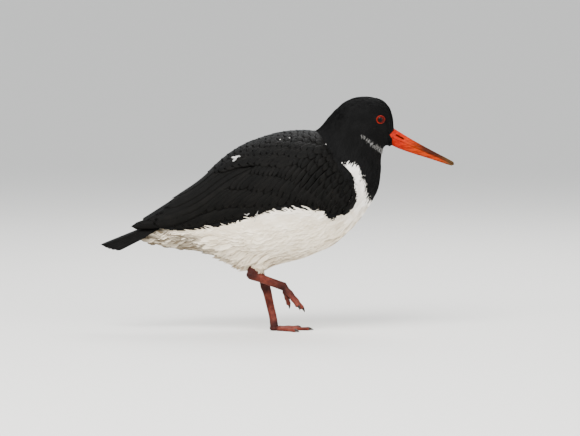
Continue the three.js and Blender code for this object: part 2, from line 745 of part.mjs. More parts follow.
function standingToePath({ heading, length }) {
  const turn = heading * DEGREE;
  const ahead = (distance, z) =>
    new THREE.Vector3(BALL[0] + distance * Math.cos(turn), distance * Math.sin(turn), z);
  const path = new THREE.CatmullRomCurve3([
    ahead(...TOE_START),
    ahead(TOE_LANDS[0], TOE_HALF_HEIGHT * TOE_LANDS[1]),
    ...TOE_LINE.map(([share, height]) => ahead(length * share, TOE_HALF_HEIGHT * height)),
  ]);
  path.upwards = new THREE.Vector3(0, 0, 1);
  return path;
}

function hangingToePath({ root, tip, length }) {
  const start = new THREE.Vector3(...RIGHT_SHIN.at(-1).slice(0, 3));
  const first = new THREE.Vector3(...root).normalize();
  const second = new THREE.Vector3(...tip).normalize();
  const middle = start.clone().addScaledVector(first, length * 0.5);
  const path = new THREE.QuadraticBezierCurve3(
    start,
    middle,
    middle.clone().addScaledVector(second, length * 0.5),
  );
  path.upwards = new THREE.Vector3(...HANGING_UPWARDS).normalize();
  return path;
}

// A whole leg with its foot, parted into thigh, shank, shin, foot and claws.
function legNodes(side, name, thigh, shin, feathersEnd, paths, widths) {
  const end = shin.length - 1;
  const ankle = end - ANKLE_BACK;
  const floor = (solid) => (side > 0 ? solid.trimByPlane([0, 0, 1], 0) : solid);
  const back = (v) => v.clone().negate();
  const skin = bodyForm(GAP);
  const nodes = {};
  nodes[`thigh_${name}`] = largest(limb(thigh, 0, feathersEnd).subtract(skin));
  nodes[`shank_${name}`] = largest(limb(thigh, feathersEnd).subtract(skin));
  const upper = limb(thigh, 0, thigh.length - 1, GAP);
  nodes[`shin_${name}`] = largest(limb(shin, 0, ankle).subtract(upper));
  const parts = [limb(shin, ankle)];
  if (side > 0) {
    const pad = new THREE.SphereGeometry(1, ...BALL_SEGMENTS);
    pad.rotateX(Math.PI / 2);
    pad.scale(...BALL_RADII);
    pad.translate(...BALL);
    parts.push(solidOf(pad));
  }
  paths.forEach((path, i) => {
    const [tip, way] = [path.getPointAt(1), path.getTangentAt(1)];
    parts.push(beyond(toe(path, widths[i]), tip, back(way)));
    nodes[`claw_${name}_${TOES[i].name}`] = floor(beyond(claw(path, widths[i]), tip, way));
  });
  const foot = joined(parts).subtract(limb(shin, ankle - ANKLE_SHOULDER, ankle + ANKLE_SET_IN));
  nodes[`foot_${name}`] = largest(floor(foot));
  return nodes;
}

// Assembly

const LOOKS = {
  black: { color: 0x1b1c1d, roughness: 0.75, metalness: 0 },
  white: { color: 0xe9e4da, roughness: 0.9, metalness: 0 },
  bill: { color: 0xe2551c, roughness: 0.45, metalness: 0 },
  eye: { color: 0x8c1410, roughness: 0.1, metalness: 0 },
  eyeRing: { color: 0xd8431d, roughness: 0.6, metalness: 0 },
  leg: { color: 0xb5695b, roughness: 0.6, metalness: 0 },
  claw: { color: 0x2a2220, roughness: 0.5, metalness: 0 },
};

const bird = new THREE.Group();

function addNode(name, solid, look) {
  const mesh = solid.getMesh();
  const geometry = new THREE.BufferGeometry();
  geometry.setAttribute("position", new THREE.BufferAttribute(mesh.vertProperties.slice(), 3));
  geometry.setIndex(new THREE.BufferAttribute(mesh.triVerts.slice(), 1));
  geometry.computeVertexNormals();
  const piece = new THREE.Mesh(geometry, new THREE.MeshStandardMaterial(LOOKS[look]));
  piece.name = name;
  bird.add(piece);
}

function addBody() {
  const body = bodyForm();
  const [headPoint, headWay] = cutPlane(HEAD_CUT);
  const [neckPoint, neckWay] = cutPlane(NECK_CUT);
  let head = beyond(body, headPoint, headWay);
  for (const side of [-1, 1]) {
    head = head.subtract(eyeball(side, GAP)).subtract(eyeRing(side, GAP));
    const name = side > 0 ? "left" : "right";
    addNode(`eye_${name}`, eyeball(side), "eye");
    addNode(`eye_ring_${name}`, largest(eyeRing(side).subtract(eyeball(side, GAP))), "eyeRing");
  }
  addNode("head", largest(head), "black");
  const neck = beyond(beyond(body, headPoint, headWay.clone().negate()), neckPoint, neckWay);
  addNode("neck", largest(neck), "black");
  const trunk = beyond(
    body.subtract(wingPrism(GAP)).add(underWings(0)),
    neckPoint,
    neckWay.clone().negate(),
  );
  addNode("torso", largest(trunk), "white");
}

function addBill() {
  const bill = billForm().subtract(bodyForm(GAP));
  const [x1, z1] = BILL_STATIONS[1];
  const mouth = new THREE.Vector3(x1, 0, z1 - MOUTH_DROP);
  const upwards = new THREE.Vector3(BILL_END[1] - z1 + MOUTH_DROP, 0, -(BILL_END[0] - x1)).negate();
  let upper = beyond(bill, mouth, upwards);
  for (const side of [-1, 1]) upper = upper.subtract(nostril(side));
  addNode("bill_upper", largest(upper), "bill");
  addNode("bill_lower", largest(beyond(bill, mouth, upwards.clone().negate())), "bill");
}

function addWingsAndTail() {
  for (const [side, solid] of Object.entries(wings())) addNode(`wing_${side}`, solid, "black");
  const clear = cloakForm(() => GAP + VANE_STANDS_OUT + VANE_TILT).intersect(wingPrism(TAIL_CLEARS));
  addNode("tail", largest(tail().subtract(bodyForm(GAP)).subtract(clear)), "black");
}

function addLegs() {
  const standing = legNodes(
    1,
    "left",
    LEFT_THIGH,
    LEFT_SHIN,
    LEFT_FEATHERS_END,
    TOES.map(standingToePath),
    TOES.map((t) => t.halfWidth),
  );
  const lifted = legNodes(
    -1,
    "right",
    RIGHT_THIGH,
    RIGHT_SHIN,
    RIGHT_FEATHERS_END,
    HANGING_TOES.map(hangingToePath),
    HANGING_TOES.map((t) => t.halfWidth),
  );
  for (const [name, solid] of Object.entries({ ...standing, ...lifted })) {
    const look = name.startsWith("thigh") ? "white" : name.startsWith("claw") ? "claw" : "leg";
    addNode(name, solid, look);
  }
}

addBody();
addBill();
addWingsAndTail();
addLegs();

export default bird;
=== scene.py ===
# %% [markdown]
# A Eurasian oystercatcher in mid stride, dressed as a life-size museum model.
# The solids of the part give its frame: where the body, bill, wings and legs are. Here each of them
# gets the surface and the feathers that the eye sees. Every shape is worked out with numpy from the
# same named stations as the solids, so nothing has to be fitted. Lengths are in millimetres until a
# mesh is made, which turns them to metres. +X points to the bill, +Y to the bird's left, +Z up.

# %% Frame and helpers
import json
import math
import bpy
import numpy as np
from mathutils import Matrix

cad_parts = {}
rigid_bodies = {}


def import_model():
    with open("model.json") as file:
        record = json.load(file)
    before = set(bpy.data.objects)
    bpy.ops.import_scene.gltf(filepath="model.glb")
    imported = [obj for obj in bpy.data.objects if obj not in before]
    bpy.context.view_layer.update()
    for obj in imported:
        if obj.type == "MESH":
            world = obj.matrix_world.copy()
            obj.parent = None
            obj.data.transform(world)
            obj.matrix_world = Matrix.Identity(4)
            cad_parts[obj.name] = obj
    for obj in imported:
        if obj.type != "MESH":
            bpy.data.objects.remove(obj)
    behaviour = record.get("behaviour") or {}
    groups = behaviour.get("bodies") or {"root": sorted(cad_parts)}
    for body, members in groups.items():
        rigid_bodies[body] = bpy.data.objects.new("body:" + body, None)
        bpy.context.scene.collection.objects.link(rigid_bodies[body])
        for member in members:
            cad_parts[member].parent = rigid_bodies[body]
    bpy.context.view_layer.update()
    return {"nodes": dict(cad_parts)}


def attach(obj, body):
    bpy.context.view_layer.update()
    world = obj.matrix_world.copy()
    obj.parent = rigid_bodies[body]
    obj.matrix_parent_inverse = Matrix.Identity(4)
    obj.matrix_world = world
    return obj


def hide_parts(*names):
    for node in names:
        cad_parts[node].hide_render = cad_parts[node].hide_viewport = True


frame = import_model()
rng = np.random.default_rng(7)
TURN = 2 * np.pi
print("solids loaded:", len(frame["nodes"]))


def through(places, values, at):
    """Smooth curve through (place, value) pairs: cubic Hermite pieces, each slope being the rise
    over the run between the two neighbours."""
    places = np.asarray(places, float)
    values = np.asarray(values, float)
    x = np.clip(np.asarray(at, float), places[0], places[-1])
    i = np.clip(np.searchsorted(places, x, side="right") - 1, 0, len(places) - 2)
    before = np.maximum(np.arange(len(places)) - 1, 0)
    after = np.minimum(np.arange(len(places)) + 1, len(places) - 1)
    slopes = (values[after] - values[before]) / (places[after] - places[before])
    span = places[i + 1] - places[i]
    t = (x - places[i]) / span
    rise = t * t * (3 - 2 * t)
    bend = span * (slopes[i] * t * (1 - t) ** 2 - slopes[i + 1] * t * t * (1 - t))
    return values[i] * (1 - rise) + values[i + 1] * rise + bend


def columns_of(table, place, wanted):
    """Values of some columns of a table of stations, each read off its smooth curve at places."""
    table = np.asarray(table, float)
    return [through(np.arange(len(table)), table[:, k], place) for k in wanted]


def points_of(table, place):
    """The first three columns of a table of stations, as points."""
    return np.stack(columns_of(table, place, range(3)), axis=1)


def smooth(x, low, high):
    """0 below low, 1 above high, and 3t^2 - 2t^3 between them."""
    t = np.clip((np.asarray(x, float) - low) / (high - low), 0, 1)
    return t * t * (3 - 2 * t)


def unit(v):
    """Vectors divided by their own length."""
    return v / np.maximum(np.linalg.norm(v, axis=-1, keepdims=True), 1e-9)


def linear(hex_code):
    """sRGB hex to linear: c/12.92 under 0.04045, else ((c + 0.055)/1.055)^2.4."""
    c = np.array([int(hex_code[i : i + 2], 16) / 255 for i in (1, 3, 5)])
    c = np.where(c <= 0.04045, c / 12.92, ((c + 0.055) / 1.055) ** 2.4)
    return tuple(float(v) for v in c) + (1.0,)


def rgb(hex_code):
    """The three linear values of a hex colour."""
    return np.array(linear(hex_code)[:3])


def grid_faces(rows, columns, wrap=False, close=False):
    """Quads of a rows by columns grid of points. wrap joins the last column to the first one, and
    close the last row to the first one."""
    row, a = np.meshgrid(np.arange(rows - (not close)), np.arange(columns - (not wrap)), indexing="ij")
    b = (a + 1) % columns
    near, far = row * columns, (row + 1) % rows * columns
    return np.stack([near + a, near + b, far + b, far + a], axis=-1).reshape(-1, 4)


def mesh_piece(name, points, faces, uv=None, maps=None, colours=None, smooth_shade=True):
    """One object from points in mm and faces of one size. uv and maps hold a pair for each point,
    colours an RGB value for each point."""
    mesh = bpy.data.meshes.new(name)
    points = np.asarray(points, np.float32) / 1000
    faces = np.asarray(faces, np.int32)
    sides = faces.shape[1]
    mesh.vertices.add(len(points))
    mesh.vertices.foreach_set("co", points.ravel())
    mesh.loops.add(faces.size)
    mesh.loops.foreach_set("vertex_index", faces.ravel())
    mesh.polygons.add(len(faces))
    mesh.polygons.foreach_set("loop_start", np.arange(len(faces), dtype=np.int32) * sides)
    mesh.polygons.foreach_set("use_smooth", np.full(len(faces), smooth_shade))
    layers = dict(maps or {})
    if uv is not None:
        layers["UVMap"] = uv
    for key, pairs in layers.items():
        layer = mesh.uv_layers.new(name=key)
        layer.data.foreach_set("uv", np.asarray(pairs, np.float32)[faces.ravel()].ravel())
    if colours is not None:
        tint = mesh.color_attributes.new("tint", "FLOAT_COLOR", "POINT")
        rgba = np.ones((len(points), 4), np.float32)
        rgba[:, :3] = colours
        tint.data.foreach_set("color", rgba.ravel())
    mesh.update()
    mesh.validate()
    piece = bpy.data.objects.new(name, mesh)
    bpy.context.scene.collection.objects.link(piece)
    return piece


def settle(piece, material, nodes):
    """Gives a piece its material, attaches it to the root body, and hides the solids that it stands for.
    """
    piece.data.materials.append(material)
    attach(piece, "root")
    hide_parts(*nodes)


def closed_loft(rings, start, end):
    """A closed skin over rings of points (rows, columns, 3), each end closed onto one point.
    The faces come back as triangles that point outwards."""
    rows, columns, _ = rings.shape
    quads = grid_faces(rows, columns, wrap=True)
    tris = np.concatenate([quads[:, [0, 1, 2]], quads[:, [0, 2, 3]]])
    k = np.arange(columns)
    first = np.stack([np.full(columns, rows * columns), (k + 1) % columns, k], axis=1)
    base = (rows - 1) * columns
    last = np.stack([np.full(columns, rows * columns + 1), base + k, base + (k + 1) % columns], axis=1)
    points = np.concatenate([rings.reshape(-1, 3), [start], [end]])
    faces = np.concatenate([tris, first, last])
    corners = points[faces]
    volume = np.einsum("ij,ij->i", corners[:, 0], np.cross(corners[:, 1], corners[:, 2])).sum()
    return points, faces if volume > 0 else faces[:, ::-1]


# %% [markdown]
# The trunk, neck and head are one loft. Each station is a cut across the bird, from a point of its
# back to a point of its belly, so the cuts fan out round the nape and the chin. These are the same
# stations as the solids have: a smooth curve runs through each column of the table.

# %% The body's form
BODY_STATIONS = np.array([
    [-153.4, 109.8, -151.2, 103.6, 6.5, 0.5],
    [-136.6, 114.8, -134.4, 97.5, 12.5, 0.5],
    [-114.2, 126, -112, 92, 20, 0.52],
    [-86.2, 143.9, -86.2, 88.5, 29, 0.55],
    [-58.2, 169.7, -61.6, 82.9, 37.5, 0.56],
    [-35.8, 192, -38.1, 73.5, 44.5, 0.55],
    [-16.8, 208.9, -16.8, 70.6, 49, 0.54],
    [3.4, 218.4, 9, 76.2, 51, 0.54],
    [21.3, 222.3, 37, 84.6, 50.5, 0.55],
    [34.7, 224, 65, 98.6, 48, 0.56],
    [42.6, 225.1, 87.4, 119.3, 43.5, 0.58],
    [45.9, 227.4, 104.2, 141.7, 38, 0.58],
    [49.3, 230.7, 113.7, 160.7, 32.5, 0.56],
    [53.8, 236.3, 116.5, 178.6, 28, 0.54],
    [59.4, 243, 116.8, 193.2, 25, 0.52],
    [66.1, 249.8, 118.7, 203.3, 22.8, 0.5],
    [76.2, 257.6, 121.5, 207.2, 21.6, 0.5],
    [89.6, 262.3, 124.3, 207.8, 20.8, 0.5],
    [104.2, 262.3, 126.6, 207.8, 19.6, 0.52],
    [117.6, 258.2, 128.2, 207.8, 17, 0.55],
    [125.4, 250.3, 129.4, 208.3, 12.8, 0.58],
    [129.1, 240.2, 130.1, 209.4, 9.4, 0.6],
    [130.3, 230.2, 131, 211.1, 7, 0.6],
])
LAST = len(BODY_STATIONS) - 1
TRUNK_END = (-158, 0, 106.5)
FACE_END = (131.6, 0, 220)
BODY_BUMPS = [
    (92, 228, 17, 1.6),
    (127, 216, 15, -4.5),
    (114.8, 246, 8, 0.9),
    (-18, 100, 30, 4),
    (30, 112, 26, 1.5),
]
EYE = (114.8, 237.4)


def body_point(place, angle, grow=0.0):
    """Point of the body: down = (1 - cos angle)/2 is the share of the way from back to belly, and
    half the width there is w (down/m)^m ((1 - down)/(1 - m))^(1 - m), widest at down = m."""
    place, angle = np.broadcast_arrays(np.asarray(place, float), np.asarray(angle, float))
    top_x, top_z, low_x, low_z, width, widest = columns_of(BODY_STATIONS, place, range(6))
    down = (1 - np.cos(angle)) / 2
    across = (down / widest) ** widest * ((1 - down) / (1 - widest)) ** (1 - widest)
    length = np.hypot(low_x - top_x, low_z - top_z)
    reach = down + grow / length * (2 * down - 1)
    x = top_x + (low_x - top_x) * reach
    z = top_z + (low_z - top_z) * reach
    bulge = sum(h * np.exp(-((x - bx) ** 2 + (z - bz) ** 2) / s**2) for bx, bz, s, h in BODY_BUMPS)
    side = np.sign(np.sin(angle))
    y = side * (width + bulge + grow) * np.minimum(across, 1)
    return np.stack([x, y, z], axis=-1)


def body_frame(place, angle, grow=0.0):
    """Point, outward normal, and the way the feathers lie (down the places, to the tail), from
    finite differences of the form."""
    step = 1e-3
    p = body_point(place, angle, grow)
    along = body_point(place - step, angle, grow) - body_point(place + step, angle, grow)
    around = body_point(place, angle + step, grow) - body_point(place, angle - step, grow)
    lie = unit(along)
    normal = unit(np.cross(lie, around))
    return p, normal, lie


test_point, test_normal, _ = body_frame(np.array([8.0]), np.array([np.pi / 2]))
print("flank at", np.round(test_point, 1), "faces", np.round(test_normal, 2))

# %% [markdown]
# The closed wings wrap the back like a cloak: an oval at each x, from the wing tips to the shoulder.
# A wing feather is placed on it by x and by its angle down from the ridge of the back.

# %% The cloak of the closed wings
CLOAK_STATIONS = np.array([
    [-163.5, 119.5, 113, 8],
    [-147.8, 128.9, 108, 12.5],
    [-131, 139.6, 102.5, 17.5],
    [-108.6, 154, 94.6, 23.5],
    [-86.2, 169.7, 90.2, 31],
    [-63.8, 190.4, 84.6, 39],
    [-41.4, 205.5, 77.8, 45.5],
    [-19, 215, 72.2, 50.3],
    [3.4, 221.2, 74.5, 52.4],
    [25.8, 223.4, 80.1, 52],
    [48.2, 221.2, 89, 49],
    [65, 211.1, 99.1, 44.5],
    [81.8, 195.4, 112.6, 37.5],
    [94.1, 176.4, 130.5, 27],
    [100.8, 163, 147.3, 14],
])
# Where a closed wing lies, seen from the side, and the same with the back between the wings.
WING_OUTLINE = np.array([
    [77.3, 186], [84, 178.6], [87.9, 169.7], [87.9, 158.5], [81.8, 146.2], [72.8, 136.1],
    [63.8, 128.2], [53.8, 131.6], [25.8, 135], [-7.8, 132.7], [-35.8, 123.8], [-69.4, 115.9],
    [-97.4, 112.6], [-120, 113.1], [-135, 115.6], [-150, 116.8], [-175, 117.5], [-175, 235],
    [-50, 235], [-44, 204], [-32, 201], [-15, 206.5], [3, 211], [25, 212], [46, 210], [60, 201],
])

SHELL_OUTLINE = np.concatenate([WING_OUTLINE[:18], [[52, 235], [60, 201]]])


def cloak_oval(x):
    """Height of the middle, half height and half width of the cloak's oval at x."""
    top, low, width = (through(CLOAK_STATIONS[:, 0], CLOAK_STATIONS[:, k], x) for k in (1, 2, 3))
    return (top + low) / 2, (top - low) / 2, width


def cloak_point(x, angle, lift=0.0):
    """Oval of half width w + lift and half height h + lift: (x, w sin a, middle + h cos a)."""
    x, angle, lift = np.broadcast_arrays(np.asarray(x, float), np.asarray(angle, float), lift)
    middle, half, width = cloak_oval(x)
    half = np.maximum(half + lift, 0.2)
    wide = np.maximum(width + lift, 0.2)
    return np.stack([x, wide * np.sin(angle), middle + half * np.cos(angle)], axis=-1)


def inside(polygon, x, z):
    """Even-odd rule: a point is inside if a ray to +X crosses the outline an odd number of times."""
    x, z = np.broadcast_arrays(x, z)
    a = polygon
    b = np.roll(polygon, -1, axis=0)
    xs, zs = x[..., None], z[..., None]
    straddles = (a[:, 1] > zs) != (b[:, 1] > zs)
    drop = np.where(b[:, 1] == a[:, 1], 1e-9, b[:, 1] - a[:, 1])
    crossing = (b[:, 0] - a[:, 0]) * (zs - a[:, 1]) / drop + a[:, 0]
    return (straddles & (xs < crossing)).sum(axis=-1) % 2 == 1


def under_cloak(p, deep):
    """True where a point is inside the cloak's oval by more than deep mm and behind its front."""
    x, y, z = p[..., 0], p[..., 1], p[..., 2]
    middle, half, width = cloak_oval(x)
    share = np.hypot(y / np.maximum(width - deep, 1), (z - middle) / np.maximum(half - deep, 1))
    return (share < 1) & (x > CLOAK_STATIONS[0, 0]) & (x < 60)


def segment_distance(starts, ends, x, z):
    """Shortest distance to a set of straight segments: the foot on each is at t = p.d / d.d in 0..1."""
    d = ends - starts
    p = np.stack([x, z], axis=-1)[..., None, :] - starts
    t = np.clip((p * d).sum(-1) / (d * d).sum(-1), 0, 1)
    return np.linalg.norm(p - t[..., None] * d, axis=-1).min(axis=-1)


def edge_distance(polygon, x, z):
    """Shortest distance to the outline, less than nothing inside it."""
    away = segment_distance(polygon, np.roll(polygon, -1, axis=0), x, z)
    return np.where(inside(polygon, x, z), -away, away)


# %% [markdown]
# The markings are areas of the bird's side view: black head, neck, breast and mantle, a white
# stripe in front of the wing, white belly and vent. Skin and coat both ask the same function.
# In winter the bird has a whitish bar under the chin, broken by black specks.

# %% Markings
BLACK_FORE = np.array([
    [-70, 170], [-44, 200], [-20, 206], [25, 208], [46, 206], [58, 198], [66, 187.5], [72, 189.5],
    [79, 193.3], [84, 191.5], [89.6, 188.2], [94, 180], [97.4, 174.7], [99.7, 166.9], [101.9, 158.5],
    [105.3, 152], [110.9, 151], [140, 151], [140, 300], [-90, 300],
])
# The corner of the mouth, where bare orange skin cuts back into the feathers of the face.
GAPE = np.array([[125.2, 219.6], [129.6, 224.4], [134, 225], [134, 207], [129, 208], [128.4, 215.8]])
THROAT_BAR = np.array([
    [88, 223], [95.2, 219.5], [100.8, 215], [106.4, 210.6], [113.1, 206.1], [118, 201.6]])


def by_wing_front(x, z):
    """True along the front edge of the closed wing, above its lower corner."""
    return (x > 56) & (z > 128)


def blackness(p):
    """True where the body is black, with a ragged seam: inside the fore outline, and under the bend of
    the wing, where the body's own feathers carry the wing's black forward."""
    x, y, z = p[..., 0], p[..., 1], p[..., 2]
    wave = 1.1 * np.sin(x * 0.9 + z * 0.7) + 0.8 * np.sin(z * 1.7 + y)
    fore = edge_distance(BLACK_FORE, x, z) < wave
    bend = by_wing_front(x, z) & (edge_distance(WING_OUTLINE, x, z) < 0.4 * wave)
    return fore | bend


def throat_bar(p):
    """How near a point is to the bar on the throat, 1 on it and 0 beyond 3.4 mm, on both sides."""
    return 1 - smooth(segment_distance(THROAT_BAR[:-1], THROAT_BAR[1:], p[..., 0], p[..., 2]), 0.8, 3.4)


# %% [markdown]
# Materials. A black feather is keratin full of dark pigment: nearly matt, with a faint satin sheen
# where the barbs lie level. White feathers have no pigment and glow softly. One function adds a node
# with its settings and links, so each finish below reads as a short list.

# %% Materials: helper
def add_node(material, kind, settings=None, **links):
    """Adds one node to a material. settings are values by input or property name; links are outputs
    of other nodes by input name."""
    node = material.node_tree.nodes.new(kind)
    for key, value in (settings or {}).items():
        if isinstance(key, int) or key in node.inputs:
            node.inputs[key].default_value = value
        else:
            setattr(node, key, value)
    for key, output in links.items():
        slot = int(key[1:]) if key[0] == "i" and key[1:].isdigit() else key.replace("_", " ")
        material.node_tree.links.new(node.inputs[slot], output)
    return node


def new_material(name, roughness, settings=None):
    """A material with one principled shader; its constants are set on the shader's own sockets."""
    material = bpy.data.materials.new(name)
    material.use_nodes = True
    shader = material.node_tree.nodes["Principled BSDF"]
    shader.inputs["Roughness"].default_value = roughness
    for key, value in (settings or {}).items():
        shader.inputs[key].default_value = value
    return material, shader


def arithmetic(material, operation, *terms):
    """One step of arithmetic, each term a number or the output of a node."""
    numbers = {k: term for k, term in enumerate(terms) if isinstance(term, (int, float))}
    outputs = {f"i{k}": term for k, term in enumerate(terms) if k not in numbers}
    step = add_node(material, "ShaderNodeMath", {"operation": operation, **numbers}, **outputs)
    return step.outputs[0]


def pattern(material, kind, settings):
    """A texture in the object's own coordinates, in metres: a scale of 500 makes patches of 2 mm."""
    place = add_node(material, "ShaderNodeTexCoord")
    return add_node(material, kind, settings, Vector=place.outputs["Object"])


def ramp(material, factor, stops):
    """A colour ramp over a factor, from (position, hex) pairs."""
    node = add_node(material, "ShaderNodeValToRGB", Fac=factor)
    elements = node.color_ramp.elements
    while len(elements) > 1:
        elements.remove(elements[-1])
    elements[0].position = stops[0][0]
    elements[0].color = linear(stops[0][1])
    for position, code in stops[1:]:
        elements.new(position).color = linear(code)
    return node.outputs[0]


def point_tint(material, under=None):
    """The mesh's own point colour, multiplied into another colour if one is given."""
    tint = add_node(material, "ShaderNodeVertexColor", {"layer_name": "tint"}).outputs[0]
    if under is None:
        return tint
    return add_node(material, "ShaderNodeMix", {"data_type": "RGBA", "blend_type": "MULTIPLY", 0: 1.0},
                    i6=under, i7=tint).outputs[2]


def finish(material, shader, colour, height, strength, relief, invert=False):
    """Links the colour and a bump of some relief in metres to the shader."""
    bump = add_node(material, "ShaderNodeBump",
                    {"Strength": strength, "Distance": relief, "invert": invert}, Height=height)
    material.node_tree.links.new(shader.inputs["Base Color"], colour)
    material.node_tree.links.new(shader.inputs["Normal"], bump.outputs[0])
    return material


# %% Materials: feathers
def feather_material(name, roughness, shade_low, shade_high, shaft, sheen, shine, barbs_per_length):
    """Feather keratin. UV x runs across the vane from 0 to 1 and y from root to tip. Barbs are waves
    of y + k |x - 0.5|, so they slant forward from the shaft; the shaft is a thin line at x = 0.5.
    The point colour tint multiplies it all, feather by feather."""
    material, shader = new_material(name, roughness, {
        "Sheen Weight": sheen,
        "Sheen Roughness": 0.45,
        "Specular IOR Level": shine,
    })
    uv = add_node(material, "ShaderNodeUVMap", {"uv_map": "UVMap"}).outputs[0]
    across, along = add_node(material, "ShaderNodeSeparateXYZ", Vector=uv).outputs[:2]
    away = arithmetic(material, "ABSOLUTE", arithmetic(material, "SUBTRACT", across, 0.5))
    slant = arithmetic(material, "MULTIPLY_ADD", away, -0.9, along)
    wave = arithmetic(material, "SINE", arithmetic(material, "MULTIPLY", slant, barbs_per_length * TURN))
    cloud = pattern(material, "ShaderNodeTexNoise", {"Scale": 90.0, "Detail": 4.0}).outputs["Fac"]
    mixed = arithmetic(material, "MULTIPLY_ADD", wave, 0.14, cloud)
    vane = ramp(material, mixed, [(0.3, shade_low), (0.7, shade_high)])
    thin = add_node(material, "ShaderNodeMapRange", {"From Min": 0.02, "From Max": 0.045, "To Min": 1.0,
                    "To Max": 0.0}, Value=away)
    line = add_node(material, "ShaderNodeMix", {"data_type": "RGBA", 7: linear(shaft)},
                    i0=thin.outputs[0], i6=vane)
    return finish(material, shader, point_tint(material, line.outputs[2]), wave, 0.25, 0.0003)


black_feather = feather_material(
    "black_contour_feather", 0.62, "#040404", "#0b0b0b", "#070707", 0.0, 0.06, 9)
black_quill = feather_material(
    "black_flight_feather", 0.55, "#040403", "#0a0908", "#030303", 0.0, 0.06, 60)
white_feather = feather_material(
    "white_contour_feather", 0.8, "#eae5dc", "#fbf9f6", "#efeae2", 0.15, 0.3, 9)


def skin_material():
    """Down and skin under the coat, in the coat's own markings (the point colour tint)."""
    material, shader = new_material("underdown", 0.9, {"Specular IOR Level": 0.15})
    down = pattern(material, "ShaderNodeTexNoise", {"Scale": 420.0, "Detail": 3.0})
    return finish(material, shader, point_tint(material), down.outputs["Fac"], 0.5, 0.0006)


underdown = skin_material()
print("feather finishes:", black_feather.name, black_quill.name, white_feather.name)

# %% [markdown]
# The skin is the body's loft drawn in by the coat's depth, in black or white where the coat is.
# It closes the gaps between feathers, so the eye never looks into the body.

# %% Skin of the body
def coat_depth(p):
    """Depth of the coat: 0.8 mm on the face, where the feathers are tiny, and 2.4 mm on the body."""
    return 0.8 + 1.6 * smooth(np.hypot(p[..., 0] - 120, p[..., 2] - 228), 14, 62)


BODY_NODES = ("head", "neck", "torso")
SKIN_ROWS, SKIN_COLUMNS = 240, 96
place = np.linspace(0, LAST, SKIN_ROWS)[:, None]
angle = (np.arange(SKIN_COLUMNS) + 0.5)[None, :] / SKIN_COLUMNS * TURN
skin_rings = body_point(place, angle, -coat_depth(body_point(place, angle)))
skin_points, skin_faces = closed_loft(skin_rings, TRUNK_END, FACE_END)
skin_black = blackness(skin_points)
BLACK_DOWN = rgb("#070707")
WHITE_DOWN = rgb("#eee8dc")
skin_tint = np.where(skin_black[:, None], BLACK_DOWN, WHITE_DOWN)
at_gape = inside(GAPE, skin_points[:, 0], skin_points[:, 2])
skin_tint = np.where(at_gape[:, None], rgb("#a82000"), skin_tint)
skin_uv = np.stack(np.broadcast_arrays(angle / TURN, place / LAST), axis=-1).reshape(-1, 2)
skin_uv = np.concatenate([skin_uv, [[0.5, 0.0], [0.5, 1.0]]])
body_skin = mesh_piece("body_skin", skin_points, skin_faces, uv=skin_uv, colours=skin_tint)
settle(body_skin, underdown, BODY_NODES)
print("skin faces:", len(skin_faces))

# %% [markdown]
# One contour feather is a small cupped leaf: narrow at its root, widest past the middle, rounded and
# a little ragged at the tip. Thousands of them are one array: the template's points are moved along
# each feather's own three directions, so no loop runs over feathers or points.

# %% Feathers as arrays
def leaf_profile(t, roundness):
    """Half width along the vane, t from root to tip: it grows from 0.35 with (t / 0.55)^0.8 and ends
    bluntly with (1 - t^n)^(1/2)."""
    return (0.35 + 0.65 * np.minimum(t / 0.55, 1) ** 0.8) * np.sqrt(np.maximum(1 - t**roundness, 0))


def vanes(roots, normals, lies, lengths, widths, stand, cup=0.25, rows=5, ragged=0.08):
    """Leaves at roots. Point (t, s) is root + L t lie + W s profile(t) side + normal (rise), where
    rise = stand L t (1 - 0.45 t) - cup W s^2, so that the leaf lifts, levels off and cups down."""
    columns = 3
    t = np.linspace(0, 1, rows)
    t[-1] = 0.985
    s = np.linspace(-1, 1, columns)
    half = leaf_profile(t, 5.0)
    side = unit(np.cross(normals, lies))
    n = len(roots)
    fray = 1 + ragged * rng.standard_normal((n, 1, columns)) * (t[None, :, None] > 0.9)
    along = lengths[:, None, None] * t[None, :, None] * fray
    across = widths[:, None, None] * half[None, :, None] * s[None, None, :]
    rise = (stand[:, None, None] * lengths[:, None, None] * (t * (1 - 0.45 * t))[None, :, None]
            - cup * widths[:, None, None] * (half[:, None] * s[None, :] ** 2)[None])
    points = (roots[:, None, None] + along[..., None] * lies[:, None, None]
              + across[..., None] * side[:, None, None] + rise[..., None] * normals[:, None, None])
    tile = grid_faces(rows, columns)
    faces = (np.arange(n)[:, None, None] * rows * columns + tile[None]).reshape(-1, 4)
    uv = np.stack(np.broadcast_arrays((s[None, :] + 1) / 2, t[:, None]), axis=-1).reshape(-1, 2)
    return points.reshape(-1, 3), faces, np.tile(uv, (n, 1)), rows * columns


TUFT_PATCH = 0.003  # how wide a tuft's patch is on the bake map


def place_uv(place, angle):
    """Where a place of the body's loft lies on the skin's unwrap."""
    return np.stack([(angle / TURN) % 1, place / LAST], axis=1)


def cloak_uv(x, degrees):
    """Where a place of the cloak lies on its unwrap."""
    return np.stack([(x + 170) / 280, degrees / 180], axis=1)


def black_tints(count, low, high, warmth):
    """Tints of black feathers, each of its own brightness."""
    return rng.uniform(low, high, count)[:, None] * warmth


FRESH, WORN = np.array([[1.02, 1, 0.98], [1.04, 1, 0.95]])  # new black feathers and older, browner ones


def coat_piece(name, made, root_uv, tints, material, nodes):
    """One piece of coat. Its OFBake map puts each tuft on a small patch, at its root's place on the
    unwrap of what it grows on."""
    points, faces, uv, size = made
    spread = (uv - 0.5) * TUFT_PATCH
    bake = np.repeat(root_uv, size, axis=0) + spread
    piece = mesh_piece(name, points, faces, uv=uv, maps={"OFBake": bake},
                       colours=np.repeat(tints, size, axis=0))
    settle(piece, material, nodes)
    print(name, "feathers:", len(root_uv), "triangles:", 2 * len(faces))


